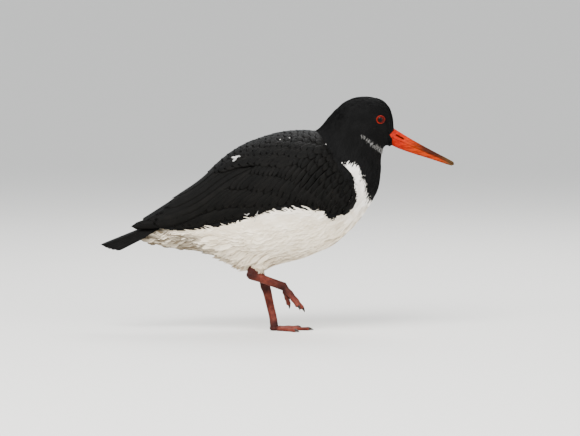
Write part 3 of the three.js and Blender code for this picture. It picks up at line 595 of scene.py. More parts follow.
# %% [markdown]
# Feathers grow in rows, each row staggered against the one before it like roof tiles. They are
# smallest on the face, 3 mm, and grow to 16 mm on the breast and belly. Each row's spacing is a
# share of the feather's length there, so that three to four layers lie over one another.

# %% Where the body's feathers grow
def feather_size(p):
    """Length and half width in mm by place: 3 on the face, 7 on the crown and neck, up to 16 below."""
    face = np.hypot(p[..., 0] - 126, p[..., 2] - 224)
    head = smooth(face, 4, 46)
    body = smooth(np.hypot(p[..., 0] - 100, p[..., 2] - 232), 36, 120)
    length = 3.0 + 3.8 * head + 9.0 * body
    return length, length * (0.3 + 0.05 * body)


def body_roots(rows_per_length, density):
    """Rows of roots over the whole loft, as (place, angle). Rows are set so that the gap between two
    of them is length/rows_per_length; a row's count is its girth over density half widths."""
    found = []
    here = LAST - 0.02
    row = 0
    while here > 0.05:
        a = (np.arange(24) + 0.5) / 24 * TURN
        ring = body_point(np.full(24, here), a)
        ahead = body_point(np.full(24, here - 0.05), a)
        pace = np.linalg.norm(ahead - ring, axis=-1) / 0.05
        length, width = feather_size(ring)
        girth = np.linalg.norm(ring - np.roll(ring, 1, axis=0), axis=-1)
        fine = np.interp(np.linspace(0, 1, 400), np.linspace(0, 1, 25),
                         np.concatenate([[0], np.cumsum(girth / (width * density))]))
        count = max(6, int(fine[-1]))
        want = (np.arange(count) + 0.5 * (row % 2) + 0.25) / count * fine[-1]
        angles = np.interp(want, fine, np.linspace(0, TURN, 400)) + a[0] - TURN / 24
        found.append(np.stack([np.full(count, here), angles], axis=1))
        step = float((length / np.maximum(pace, 1)).min()) / rows_per_length
        step_mean = float(np.median(length / np.maximum(pace, 1))) / rows_per_length
        here -= min(max(step, 0.6 * step_mean), 1.4 * step_mean)
        row += 1
    roots = np.concatenate(found)
    jitter = rng.uniform(-1, 1, roots.shape) * [0.02, 0.012]
    roots = roots + jitter
    roots[:, 0] = np.clip(roots[:, 0], 0.03, LAST - 0.02)
    return roots


roots = body_roots(rows_per_length=3.4, density=0.8)
print("roots on the body:", len(roots))


def dress_body(roots):
    """Sorts the roots into black and white, leaves out what the wings, eyes and bill cover, and sets the
    length, lie and stand of each feather of both coats."""
    skin = body_point(roots[:, 0], roots[:, 1])
    x, y, z = skin.T
    from_wing = edge_distance(WING_OUTLINE, x, z)
    sunk = 0.9 - 0.45 * smooth(from_wing, 2, 9)
    p, normal, lie = body_frame(roots[:, 0], roots[:, 1], -sunk * coat_depth(skin))
    length, width = feather_size(skin)
    black = blackness(skin)
    wing_front = by_wing_front(x, z)
    under_wing = from_wing < np.where(wing_front, np.where(black, -20, 0.3), -7)
    eye = (np.hypot(x - EYE[0] - 1.2, z - EYE[1]) < 5.7) & (np.abs(y) > 8)
    mantle = under_cloak(skin, 0.5) & (z > 160)
    under_tail = (x < -128) & (z > 100 + 0.35 * (x + 158))
    keep = ~under_wing & ~mantle & ~eye & ~inside(GAPE, x, z) & ~under_tail
    length = length * rng.uniform(0.85, 1.15, len(length))
    room = np.where(black & (from_wing < 0), 2.5 - from_wing, np.maximum(from_wing, 0) + 1.5)
    length = np.where(wing_front, np.clip(length, 2, room), length)
    fluff = (1 - smooth(x, -70, -30)) * (1 - smooth(z, 88, 100))
    nape = np.exp(-((x - 66) ** 2 + (z - 242) ** 2) / 14**2)
    stand = rng.normal(0.12, 0.03, len(length)) * (1 + 3.5 * nape) + 0.12 * fluff
    sway = rng.normal(0, 0.13, len(length))
    side = unit(np.cross(normal, lie))
    lie = unit(lie + sway[:, None] * side)
    return dict(p=p, normal=normal, lie=lie, length=length, width=width, stand=stand, keep=keep,
                black=black, uv=place_uv(*roots.T), skin=skin)


grown = dress_body(roots)


def grow(mask, name, material, tints, slot):
    """One coat piece from those of the body's feathers that a mask picks."""
    pick = mask & grown["keep"]
    made = vanes(*(grown[key][pick] for key in ("p", "normal", "lie", "length", "width", "stand")))
    coat_piece(name, made, grown["uv"][pick], tints[pick], material, BODY_NODES)


# White feathers are clean in front of the wing and creamy on the flank. Low on the belly and under the
# vent they turn buff and then dark brown, in streaks along the lie: partly stain, partly painted shade of
# the underside.
CLEAN, CREAM, BUFF, MUD_AND_SHADE = np.array([
    [1, 0.985, 0.96], [1, 0.91, 0.75], [0.32, 0.21, 0.1], [0.15, 0.115, 0.072]])


def white_tints(p):
    """Tints of white feathers at points p: clean to cream by height, then towards buff low down and
    towards dark brown under the vent, partly stain and partly painted shade of the underside, in
    streaks, the sine of a slowly waving height."""
    x, y, z = p[:, 0], np.abs(p[:, 1]), p[:, 2]
    cream = (1 - smooth(z, 112, 160))[:, None]
    streaks = 0.5 + 0.5 * np.sin(z * 0.6 + 2.1 * np.sin(x * 0.045) + y * 0.25)
    low = 1 - smooth(z + 0.1 * x, 74, 104)
    rear = 1 - smooth(x, -70, -20)
    vent = rear * (1 - smooth(z + 0.27 * x, 76, 87))
    blot = rng.normal(0, 0.07, len(p))
    # Painted shade with stain: buff low on the belly and dark brown under the vent, where the body shades
    # its underside.
    stain_and_shade = np.clip(low * (0.14 + 0.5 * streaks) + blot, 0, 1)[:, None]
    soil_and_shade = np.clip(vent * (0.6 + 0.4 * streaks) + 2 * blot * vent, 0, 1)[:, None]
    tints = CLEAN + (CREAM - CLEAN) * cream
    tints = tints * (1 - stain_and_shade) + BUFF * stain_and_shade
    return (tints * (1 - soil_and_shade) + MUD_AND_SHADE * soil_and_shade) * rng.uniform(0.95, 1.0, len(p))[:, None]


black_tint = black_tints(len(roots), 0.78, 1.2, FRESH)
white_tint = white_tints(grown["skin"])
black, x, z = grown["black"], grown["skin"][:, 0], grown["skin"][:, 2]
on_head = (z > 200) & (x > 62)
grow(black & on_head, "coat_black_head", black_feather, black_tint, "black_plumage")
grow(black & ~on_head, "coat_black_body", black_feather, black_tint, "black_plumage")
grow(~black & (x > -20), "coat_white_fore", white_feather, white_tint, "white_plumage")
grow(~black & (x <= -20), "coat_white_rear", white_feather, white_tint, "white_plumage")


def throat_streaks():
    """The bar on the throat: fine pale streaks 1.5 to 3 mm long laid over the black feathers, thick
    along the bar's middle and sparse at its edges."""
    count = 60000
    place = rng.uniform(13, LAST - 1, count)
    angle = rng.uniform(0, TURN, count)
    at = body_point(place, angle)
    chance = throat_bar(at) * smooth(at[:, 0], 90, 104)
    mine = rng.uniform(0, 1, count) < 0.2 * chance
    place, angle = place[mine], angle[mine]
    p, normal, lie = body_frame(place, angle, 0.1)
    n = len(p)
    lie = unit(lie + rng.normal(0, 0.12, (n, 3)))
    length = rng.uniform(1.5, 3.0, n)
    made = vanes(p, normal, lie, length, length * 0.12, np.full(n, 0.08), rows=4)
    tints = np.ones((n, 3)) * rng.uniform(0.04, 0.26, n)[:, None]
    coat_piece("coat_throat_bar", made, place_uv(place, angle), tints, white_feather, BODY_NODES)


throat_streaks()

# %% [markdown]
# The closed wing is built the way the real one folds: flight feathers lowest, then the great,
# middle and small coverts over their roots, and the long tertials and shoulder feathers over all.
# Each row is given by its first and last feather; the rest lie between them.

# %% Wing feathers
WING_ROWS = [
    # name, count, over, half width, lift, root line, tip line; lines are (x, degrees from ridge)
    ("primaries", 6, 1, 6.0, 0.1, [(-96, 94), (-84, 46)], [(-163.5, 74), (-117, 30)]),
    ("secondaries", 11, 1, 6.2, 0.2, [(-58, 86), (-24, 84), (14, 82)],
     [(-116, 98), (-70, 101), (-14, 93)]),
    ("great_coverts", 15, -1, 6.0, 0.5, [(-44, 66), (10, 74), (64, 84)],
     [(-88, 84), (-26, 90), (36, 94)]),
    ("edge_coverts_low", 9, -1, 5.0, 0.6, [(50, 82), (70, 92), (86, 98)],
     [(22, 93), (42, 99), (64, 113)]),
    ("middle_coverts", 17, -1, 5.6, 0.8, [(-20, 52), (30, 64), (76, 82)],
     [(-54, 68), (-2, 84), (52, 106)]),
    ("small_coverts_1", 19, -1, 5.0, 1.0, [(-6, 47), (36, 55), (82, 84)],
     [(-32, 58), (14, 73), (64, 106)]),
    ("small_coverts_2", 19, -1, 4.8, 1.15, [(6, 42), (44, 48), (86, 82)],
     [(-16, 51), (26, 62), (70, 102)]),
    ("small_coverts_3", 19, -1, 4.6, 1.3, [(16, 38), (52, 42), (88, 78)],
     [(-2, 45), (36, 53), (74, 97)]),
    ("small_coverts_4", 19, -1, 4.4, 1.4, [(26, 34), (60, 37), (90, 74)],
     [(9, 40), (45, 45), (78, 92)]),
    ("wing_edge", 19, -1, 4.0, 1.35, [(40, 31), (74, 36), (92, 74), (89, 104)],
     [(25, 36), (60, 42), (83, 84), (73, 114)]),
    ("wing_front", 17, -1, 3.6, 1.2, [(62, 36), (92, 70), (95, 96), (89, 106)],
     [(48, 42), (83, 78), (83, 100), (72, 110)]),
    ("tertials", 6, 1, 8.2, 1.1, [(-34, 64), (-16, 24)], [(-141, 84), (-118, 12)]),
    ("shoulder_long", 9, -1, 7.4, 1.5, [(-12, 35), (50, 45)], [(-66, 36), (-4, 57)]),
    ("shoulder_mid", 10, -1, 6.6, 1.7, [(2, 32), (58, 40)], [(-40, 33), (20, 51)]),
    ("shoulder_short", 10, -1, 5.8, 1.85, [(16, 31), (64, 36)], [(-14, 32), (38, 45)]),
]
VANE = 0.3  # thickness of a vane in mm, thicker than a real one so that it keeps its shape
LEFT_LOWER = 0.25  # mm by which the left wing lies lower, so that the two do not meet in one surface


def line_points(line, count):
    """Points at even shares along a smooth line through (x, degrees) pairs."""
    return np.stack(columns_of(line, np.linspace(0, len(line) - 1, count), (0, 1)), axis=1)


def wing_vane_points(side, root, tip, half, over, lift, rows=16):
    """Vanes on the cloak, all at once. root and tip are (n, 2) of x and degrees. Lift rises from
    -1 to lift along the vane, tilts by 0.35 each way across it and cups down to its edges."""
    columns = 7
    t = np.linspace(0, 1, rows)
    s = np.linspace(-1, 1, columns)
    n = len(root)
    blend = root[:, None, :] + (tip - root)[:, None, :] * t[None, :, None]
    x = blend[..., 0]
    turn = np.radians(blend[..., 1])
    near = cloak_point(x, turn + 0.02) - cloak_point(x, turn - 0.02)
    radius = np.maximum(np.linalg.norm(near, axis=-1) / 0.04, 3)
    profile = (0.6 + 0.4 * np.minimum(t / 0.4, 1)) * np.sqrt(np.maximum(1 - t**7, 0))
    width = half[:, None] * profile[None]
    fray = 1 + 0.05 * rng.standard_normal((n, 1, columns)) * (t[None, :, None] ** 4)
    across = width[..., None] * s * fray
    bow = 0.9 * np.sin(np.pi * t)[None, :, None] * (s * 0 + 1)
    angles = side * (turn[..., None] + (across + bow) / radius[..., None])
    rise = -1 + (lift[:, None, None] + 1) * smooth(t, 0, 0.7)[None, :, None]
    rise = rise + 0.35 * over * s * profile[None, :, None] - 0.35 * (s**2) * profile[None, :, None]
    shift = 1.5 * (s**2) * (t**6)[:, None]
    return cloak_point(np.repeat(x[..., None], columns, -1) + shift[None], angles, rise)


def closed_vanes(points, thickness):
    """Gives sheets (n, rows, columns, 3) a second face below and closes the rim between them."""
    n, rows, columns, _ = points.shape
    du = np.gradient(points, axis=2)
    dv = np.gradient(points, axis=1)
    normal = unit(np.cross(du, dv))
    back = points - normal * thickness
    size = rows * columns
    both = np.concatenate([points.reshape(n, size, 3), back.reshape(n, size, 3)], axis=1)
    tile = grid_faces(rows, columns)
    rim = np.concatenate([
        np.arange(columns), np.arange(1, rows) * columns + columns - 1,
        (rows - 1) * columns + np.arange(columns - 2, -1, -1), np.arange(rows - 2, 0, -1) * columns,
    ])
    after = np.roll(rim, -1)
    walls = np.stack([rim, rim + size, after + size, after], axis=1)
    tile = np.concatenate([tile, tile[:, ::-1] + size, walls])
    faces = (np.arange(n)[:, None, None] * 2 * size + tile[None]).reshape(-1, 4)
    t = np.linspace(0, 1, rows)
    s = np.linspace(0, 1, columns)
    uv = np.stack(np.broadcast_arrays(s[None, :], t[:, None]), axis=-1).reshape(-1, 2)
    return both.reshape(-1, 3), faces, np.tile(np.concatenate([uv, uv]), (n, 1)), 2 * size


def dress_wing(side, word):
    """All rows of one wing as one coat piece, each feather with a tint of its own."""
    parts, tints, places = [], [], []
    for name, count, over, half_width, lift, root_line, tip_line in WING_ROWS:
        root, tip = (line_points(line, count) for line in (root_line, tip_line))
        wobble = rng.normal(0, 1, tip.shape) * ([0, 0] if name == "primaries" else [1.0, 0.4])
        half = half_width * rng.uniform(0.95, 1.06, count)
        lifts = lift + rng.normal(0, 0.05, count) - (LEFT_LOWER if side > 0 else 0)
        parts.append(wing_vane_points(side, root, tip + wobble, half, over, lifts))
        tints.append(black_tints(count, 0.8, 1.3, WORN))
        places.append(cloak_uv(*root.T))
    points, faces, uv, size = closed_vanes(np.concatenate(parts), VANE * side)
    if side < 0:
        faces = faces[:, ::-1]
    coat_piece(f"wing_feathers_{word}", (points, faces, uv, size), np.concatenate(places),
               np.concatenate(tints), black_quill, (f"wing_{word}",))


def wing_base(side, word):
    """What lies under the feathers of one wing and its half of the back: the cloak's surface drawn in
    by 1 mm, as a closed shell 1.2 mm thick inside the outline."""
    rows, columns = 120, 58
    x = np.linspace(-150, 90, rows)[:, None]
    turn = np.radians(np.linspace(0, 120, columns))[None, :]
    top = cloak_point(x, side * turn, -1.0)
    inner = cloak_point(x, side * turn, -2.2)
    hidden = edge_distance(SHELL_OUTLINE, x + 0 * turn, top[..., 2])
    tile = grid_faces(rows, columns)
    tile = tile[(hidden.ravel()[tile] < -0.8).all(axis=1)]
    size = rows * columns
    edges = np.concatenate([tile[:, [k, (k + 1) % 4]] for k in range(4)])
    rim = edges[~np.isin(edges @ [1, size], edges @ [size, 1])]
    walls = np.stack([rim[:, 1], rim[:, 0], rim[:, 0] + size, rim[:, 1] + size], axis=1)
    faces = np.concatenate([tile, tile[:, ::-1] + size, walls])
    points = np.concatenate([top.reshape(-1, 3), inner.reshape(-1, 3)])
    used, faces = np.unique(faces, return_inverse=True)
    points, faces = points[used], faces.reshape(-1, 4)
    if side > 0:
        faces = faces[:, ::-1]
    piece = mesh_piece(f"wing_skin_{word}", points, faces, colours=np.tile(BLACK_DOWN, (len(points), 1)))
    settle(piece, underdown, (f"wing_{word}",))


def dress_back():
    """Feathers of the back between the wings: cross rows 7 mm apart, each staggered by half a
    feather, from 30 degrees on one side of the ridge to 30 on the other."""
    x = np.arange(62, -64, -7.0)
    turn = np.arange(-30, 31, 8.6)
    turn = turn[None, :] + 4.3 * (np.arange(len(x)) % 2)[:, None]
    root = np.stack(np.broadcast_arrays(x[:, None], turn), axis=-1).reshape(-1, 2)
    root = root + rng.normal(0, 1, root.shape) * [0.9, 0.5]
    tip = root + np.stack([np.full(len(root), -20.0), root[:, 1] * 0.06], axis=1)
    half = rng.uniform(6.0, 7.2, len(root))
    lifts = 0.9 + 1.0 * smooth(root[:, 0], -60, -20) + rng.normal(0, 0.08, len(root))
    made = closed_vanes(wing_vane_points(1, root, tip, half, 0, lifts, rows=12), VANE)
    tints = black_tints(len(root), 0.8, 1.3, WORN)
    places = np.stack([0.5 + root[:, 1] / 360, (root[:, 0] + 170) / 280], axis=1)
    coat_piece("back_feathers", made, places, tints, black_quill, ("torso",))


for side, word in ((-1, "right"), (1, "left")):
    wing_base(side, word)
    dress_wing(side, word)
dress_back()

# %% [markdown]
# This bird carries a few white flecks: a stray bit of down on the back, specks of spray beside it,
# and the pale edge of a flank feather that shows through the wing's lower edge.

# %% White flecks
# x, degrees from the ridge, length, half width, how many degrees the fleck turns from the tail, tint
FLECKS = np.array([
    [-42.0, 32.5, 6.5, 1.8, 10, 0.5], [-44.5, 34.0, 6.0, 1.7, -18, 0.36],
    [-46.0, 31.0, 5.0, 1.5, 30, 0.6], [-40.5, 34.5, 4.0, 1.0, 50, 0.3],
    [4.5, 26.5, 1.6, 0.6, 0, 0.6], [14.6, 26.5, 1.4, 0.5, 40, 0.6], [55.0, 33.0, 1.6, 0.6, 20, 0.6],
    [-30.2, 96.0, 4.2, 0.6, -35, 0.4], [-33.0, 97.5, 3.2, 0.5, 20, 0.35],
    [-24.8, 104.0, 14.0, 0.4, 108, 0.5],
])


def laid_on_cloak(side, x, degrees, lift, bend):
    """Root, normal and lie of leaves on the cloak: the lie is turned up from the tail by bend degrees
    in the plane of the surface."""
    turn = side * np.radians(degrees)
    root = cloak_point(x, turn, lift)
    ahead = unit(cloak_point(x - 0.5, turn, lift) - cloak_point(x + 0.5, turn, lift))
    around = unit(cloak_point(x, turn + side * 0.01, lift) - cloak_point(x, turn - side * 0.01, lift))
    normal = side * unit(np.cross(ahead, around))
    bend = np.radians(bend)[:, None]
    return root, normal, unit(ahead * np.cos(bend) - around * np.sin(bend))


def white_flecks():
    """Leaves laid on the near wing, each turned in the plane of the cloak's surface."""
    count = len(FLECKS)
    x, degrees, length, half, bend, tint = FLECKS.T
    made = vanes(*laid_on_cloak(-1, x, degrees, 2.3, bend), length, half, np.full(count, 0.03), cup=0.1)
    places = cloak_uv(x, degrees)[:, ::-1]
    tints = np.ones((count, 3)) * (tint * rng.uniform(0.85, 1.0, count))[:, None]
    coat_piece("white_flecks", made, places, tints, white_feather, ("wing_right",))


white_flecks()

# %% [markdown]
# Loose flank feathers stand up over the closed wing's lower edge and make it ragged. Over the thighs
# the belly's feathers are long and hang in a skirt, so that the legs seem to come out of it.

# %% Flank and skirt
# The wing's lower edge from behind forward, (x, z), as the flank feathers leave it to be seen.
FLANK_LINE = np.array([
    [-98, 111], [-86, 112.5], [-70, 114.5], [-48, 119.5], [-34, 121.5], [-25, 125.5], [-15.6, 129.5],
    [-10.9, 133], [8, 135.5], [20.6, 136.5], [39.4, 136.5], [44, 133], [56, 132.5],
])
FLANK_ROWS = [0.5, 4.5, 9.0, 14.0]  # mm below the line
FLANK_COLUMNS = 64
# The lower edge of the skirt seen from the side, from the vent forward, (x, z).
SKIRT_HEM = np.array([[-82, 86.5], [-64, 80.5], [-48, 74.5], [-35, 69.5], [-20, 68], [-6, 68.5], [8, 76]])


def cloak_degrees(x, z):
    """Degrees from the ridge at which the cloak has height z: acos((z - middle) / half height)."""
    middle, half, _ = cloak_oval(x)
    return np.degrees(np.arccos(np.clip((z - middle) / half, -1, 1)))


def flank_tufts(side, word):
    """Leaves in staggered rows along the wing's lower edge, turned up by 10 degrees behind and 28 in
    front. Behind the thigh only the two upper rows are there."""
    steps = (np.arange(FLANK_COLUMNS)[None, :] + 0.5 * (np.arange(len(FLANK_ROWS)) % 2)[:, None])
    x = FLANK_LINE[0, 0] + (FLANK_LINE[-1, 0] - FLANK_LINE[0, 0]) * steps / FLANK_COLUMNS
    x = (x + rng.normal(0, 0.8, x.shape)).ravel()
    below = np.repeat(FLANK_ROWS, FLANK_COLUMNS) + rng.normal(0, 0.8, len(x))
    mine = (below < 7) | (x > -45)
    x, below = x[mine], below[mine]
    z = through(FLANK_LINE[:, 0], FLANK_LINE[:, 1], x) - below
    degrees = cloak_degrees(x, z)
    bend = 10 + 18 * smooth(x, -60, 0) + rng.normal(0, 7, len(x))
    root, normal, lie = laid_on_cloak(side, x, degrees, -0.6, bend)
    length = rng.uniform(9, 13, len(x))
    made = vanes(root, normal, lie, length, length * 0.24, rng.normal(0.2, 0.03, len(x)), ragged=0.14)
    coat_piece(f"flank_tufts_{word}", made, cloak_uv(x, degrees)[:, ::-1], white_tints(root),
               white_feather, ("torso",))


def belly_skirt():
    """Leaves on the belly's flanks over the thighs. Each one's length takes it down to the hem."""
    place, angle = np.meshgrid(np.linspace(3.6, 7.4, 46), np.linspace(-1.3, 1.3, 60) + np.pi,
                               indexing="ij")
    place = (place + rng.normal(0, 0.03, place.shape)).ravel()
    angle = (angle + rng.normal(0, 0.02, angle.shape)).ravel()
    p, normal, lie = body_frame(place, angle, -1.6)
    hem = through(SKIRT_HEM[:, 0], SKIRT_HEM[:, 1], p[:, 0] - 9)
    mine = (p[:, 2] > hem + 4) & (p[:, 2] < hem + 24) & (p[:, 0] > -66) & (p[:, 0] < 4)
    p, normal, lie, place, angle, hem = (a[mine] for a in (p, normal, lie, place, angle, hem))
    steep = smooth(p[:, 0], -60, -25) * (1 - smooth(p[:, 0], -12, 6))
    down = np.stack([-0.9 + 0.25 * steep, 0 * steep, -0.25 - 0.5 * steep], axis=1)
    hang = unit(down - 0.8 * (down * normal).sum(axis=1)[:, None] * normal)
    hang = unit(hang + rng.normal(0, 0.1, hang.shape))
    length = (p[:, 2] - hem) / np.maximum(-hang[:, 2], 0.3) + rng.normal(0, 1.2, len(p))
    length = np.clip(length, 7, 20)
    normal = unit(normal - (normal * hang).sum(axis=1)[:, None] * hang)
    made = vanes(p, normal, hang, length, length * 0.17, rng.normal(0.05, 0.03, len(p)), ragged=0.12)
    coat_piece("belly_skirt", made, place_uv(place, angle), white_tints(p), white_feather, ("torso",))


flank_tufts(-1, "right")
flank_tufts(1, "left")
belly_skirt()

# %% [markdown]
# The tail is six pairs of stiff feathers, closed one under another, the middle pair on top. From the
# side it is a wedge, because the outer feathers lie lower than the middle ones.

# %% Tail
TAIL_ROOT, TAIL_TIP = (-118, 129.5), (-198, 97)
TAIL_PAIRS, TAIL_HALF_WIDTH, TAIL_ARCH = 6, 17, 12
TAIL_STEP_BACK = 0.24  # the outermost feather is shorter by this share


def tail_vanes():
    """Tail feathers as sheets: middle at side * outwards * 17 * (0.35 + 0.4 along), arched down by
    12 (y / 17)^2, each pair 0.55 mm under the one above it and a little shorter."""
    rows, columns = 18, 9
    pair, side = np.meshgrid(np.arange(TAIL_PAIRS), [-1, 1], indexing="ij")
    pair, side = pair.ravel(), side.ravel()
    outwards = (pair + 0.35) / TAIL_PAIRS
    t = np.linspace(0, 1, rows)
    s = np.linspace(-1, 1, columns)
    along = t[None, :] * (1 - TAIL_STEP_BACK * outwards**2)[:, None]
    rounding = np.sqrt(np.maximum(1 - np.maximum(0, (t - 0.84) / 0.16) ** 2.2, 0))
    half = 7.5 * (0.55 + 0.45 * np.minimum(t / 0.5, 1)) * rounding
    middle = side[:, None] * outwards[:, None] * TAIL_HALF_WIDTH * (0.35 + 0.4 * along)
    y = middle[..., None] + half[None, :, None] * s
    sink = -0.55 * pair - 0.27 * (side > 0)
    x = TAIL_ROOT[0] + (TAIL_TIP[0] - TAIL_ROOT[0]) * along
    z = TAIL_ROOT[1] + (TAIL_TIP[1] - TAIL_ROOT[1]) * along + sink[:, None]
    z = z[..., None] - TAIL_ARCH * (y / TAIL_HALF_WIDTH) ** 2
    return np.stack([np.repeat(x[..., None], columns, -1), y, z], axis=-1)


sheets = tail_vanes()
points, faces, uv, size = closed_vanes(sheets, 0.35)
tail_tints = np.tile(rng.uniform(0.85, 1.2, (len(sheets), 1)), (1, 3))
tail_tints = np.repeat(tail_tints, size, axis=0)
tail = mesh_piece("tail_feathers", points, faces, uv=uv, colours=tail_tints, maps={
    "OFBake": np.stack([0.1 + 0.8 * (np.repeat(np.arange(len(sheets)), size) + uv[:, 0] * 0.9)
                        / len(sheets), uv[:, 1]], axis=1)})
settle(tail, black_quill, ("tail",))
print("tail feathers:", len(sheets))

# %% [markdown]
# The bill is a long blade, higher than wide, of horn over bone. Its two halves meet in the line of
# the mouth, which is a fine groove here. The nostril is a slit in a shallow hollow behind the base.

# %% Bill
BILL_STATIONS = np.array([
    [118, 224, 9.2, 7],
    [128, 218.2, 9, 6.4],
    [138, 212.7, 8.4, 5.4],
    [149, 207.4, 7.3, 4.4],
    [160, 202.6, 6.1, 3.5],
    [171, 198, 4.9, 2.7],
    [182, 193.4, 3.9, 1.9],
    [192, 189.2, 3, 1.25],
    [196.5, 187.3, 2.3, 1],
])
BILL_END = (198.3, 0, 186.5)
MOUTH_DROP = 1.6
NOSTRIL = ((133.0, 219.9), (141.8, 215.0))  # the slit's two ends, (x, z)


def bill_surface():
    """Oval sections round a straight middle line. The skin is drawn in by a narrow bell curve where
    it passes the line of the mouth, and by a slit-shaped one at each nostril."""
    rows, columns = 220, 96
    place = np.linspace(0, len(BILL_STATIONS) - 1, rows)[:, None]
    turn = (np.arange(columns) + 0.5)[None, :] / columns * TURN
    x, z, high, wide = columns_of(BILL_STATIONS, place, range(4))
    square = 0.93 + 0.07 * np.abs(np.sin(turn)) ** 2
    px = x + 0.42 * high * np.cos(turn)
    pz = z + 0.9 * high * np.cos(turn)
    py = wide * np.sin(turn) * square
    x1, z1 = BILL_STATIONS[1][:2]
    slope = (BILL_END[2] - z1 + MOUTH_DROP) / (BILL_END[0] - x1)
    mouth = pz - (z1 - MOUTH_DROP + slope * (px - x1))
    groove = np.exp(-((mouth / 0.42) ** 2)) * smooth(BILL_END[0] - px, 0, 4)
    py = py * (1 - 0.16 * groove)
    flare = 0.16 * np.exp(-((mouth / 3.4) ** 2)) * (1 - smooth(px, 124, 136))
    py = py * (1 + flare)
    (ax, az), (bx, bz) = NOSTRIL
    length = math.hypot(bx - ax, bz - az)
    ux, uz = (bx - ax) / length, (bz - az) / length
    along = (px - ax) * ux + (pz - az) * uz
    off = -(px - ax) * uz + (pz - az) * ux
    ends = smooth(along, -1.2, 1.2) * (1 - smooth(along, length - 1.2, length + 1.2))
    slit = np.exp(-((off / 0.6) ** 2)) * ends
    hollow = np.exp(-((off / 2.2) ** 2)) * smooth(along, -4, 3) * (1 - smooth(along, length, length + 16))
    sides = smooth(np.abs(np.sin(turn)), 0.4, 0.8)
    py = py * (1 - (0.34 * slit + 0.07 * hollow) * sides)
    return np.stack([px, py, pz], axis=-1), slit * sides, mouth


bill_rings, nostril, mouth = bill_surface()
bill_points, bill_faces = closed_loft(bill_rings, (116.5, 0, 225), BILL_END)
bill_base = BILL_STATIONS[1, 0]
along = np.clip((bill_points[:, 0] - bill_base) / (BILL_END[0] - bill_base), 0, 1)
upper = smooth(np.concatenate([mouth.ravel(), [0, 0]]), -1.5, 1.5)
BASE, MIDDLE, DUSK, TIP = (rgb(c) for c in ("#a41a00", "#a83200", "#20140a", "#4b381e"))
tone = BASE + (MIDDLE - BASE) * smooth(along, 0.08, 0.42)[:, None]
dusk = (smooth(along, 0.22, 0.55) * (0.12 + 0.8 * upper))[:, None]
tone = tone * (1 - dusk) + DUSK * dusk
end = smooth(along, 0.72, 0.97)[:, None]
tone = tone * (1 - end) + TIP * end
# Painted shade: the nostril slit is darkened almost to black, as the shade inside the opening.
dark = np.concatenate([nostril.ravel(), [0, 0]])[:, None]
tone = tone * (1 - 0.985 * smooth(dark, 0.05, 0.6))
# Painted shade: the groove of the mouth line is darkened by up to 0.55.
line = np.exp(-((np.concatenate([mouth.ravel(), [9, 9]]) / 0.4) ** 2))[:, None]
tone = tone * (1 - 0.55 * line)


def horn_material():
    """Bill horn: colour from the point tint, with growth streaks along the bill, 10 mm long and 1.3 mm
    apart, and a thin clear surface that shines softly."""
    material, shader = new_material("bill_horn_keratin", 0.42, {
        "Specular IOR Level": 0.05,
        "Coat Weight": 0.02,
        "Coat Roughness": 0.2,
    })
    turned = pattern(material, "ShaderNodeMapping",
                     {"Rotation": (0, math.radians(-25), 0), "Scale": (60, 500, 500)})
    streak = add_node(material, "ShaderNodeTexNoise", {"Scale": 1.6, "Detail": 5.0},
                      Vector=turned.outputs[0]).outputs["Fac"]
    growth = ramp(material, streak, [(0.35, "#bfae9f"), (0.62, "#ffffff")])
    return finish(material, shader, point_tint(material, growth), streak, 0.2, 0.0004)


horn = horn_material()
bill = mesh_piece("bill", bill_points, bill_faces, colours=tone)
settle(bill, horn, ("bill_upper", "bill_lower"))
print("bill faces:", len(bill_faces))

# %% [markdown]
# The eye is a ball under a clear cornea: a black pupil in a blood-red iris, inside a ring of bare
# orange-red skin. The colours are set by the angle from the eye's own axis, ring by ring.

# %% Eyes
def head_half_width(x, z):
    """Half width of the head at a place of its side view: the nearest of many sampled points."""
    place, turn = np.meshgrid(np.linspace(15, 22, 141), np.linspace(0.05, np.pi, 120), indexing="ij")
    p = body_point(place, turn)
    gap = np.hypot(p[..., 0] - x, p[..., 2] - z)
    return float(p[..., 1].ravel()[gap.argmin()])


EYE_RADIUS, EYE_OUT = 6.0, 2.0
PUPIL_ANGLE, IRIS_ANGLE = 0.43, 0.62  # radians from the eye's axis at which pupil and iris end
LID_RADIUS, LID_TUBE = 4.45, 0.46
CORNEA_BULGE, EYE_STEPS = 0.3, 72
LID_STEPS, LID_SIDES = 96, 24
EYE_SUNK = 0.9  # the coat's depth on the face, so that the lids lie level with the feathers
eye_y = head_half_width(*EYE)
print("the head is", round(2 * eye_y, 1), "mm wide at the eyes")


def cornea_material():
    """Wet tissue: the point tint under a clear, smooth coat, as a cornea gives."""
    material, shader = new_material("wet_eye", 0.5, {
        "Coat Weight": 0.12, "Coat Roughness": 0.03, "Coat IOR": 1.376, "Specular IOR Level": 0.04})
    material.node_tree.links.new(shader.inputs["Base Color"], point_tint(material))
    return material


def eye_skin_material():
    """Bare orbital skin: small beads 0.7 mm across, orange-red, slightly shiny."""
    material, shader = new_material("bare_orbital_skin", 0.5, {"Specular IOR Level": 0.1})
    beads = pattern(material, "ShaderNodeTexVoronoi", {"Scale": 1500.0}).outputs["Distance"]
    skin = ramp(material, beads, [(0.0, "#961c02"), (0.8, "#640d02")])
    return finish(material, shader, skin, beads, 0.4, 0.0003, invert=True)


wet_eye = cornea_material()
orbital_skin = eye_skin_material()


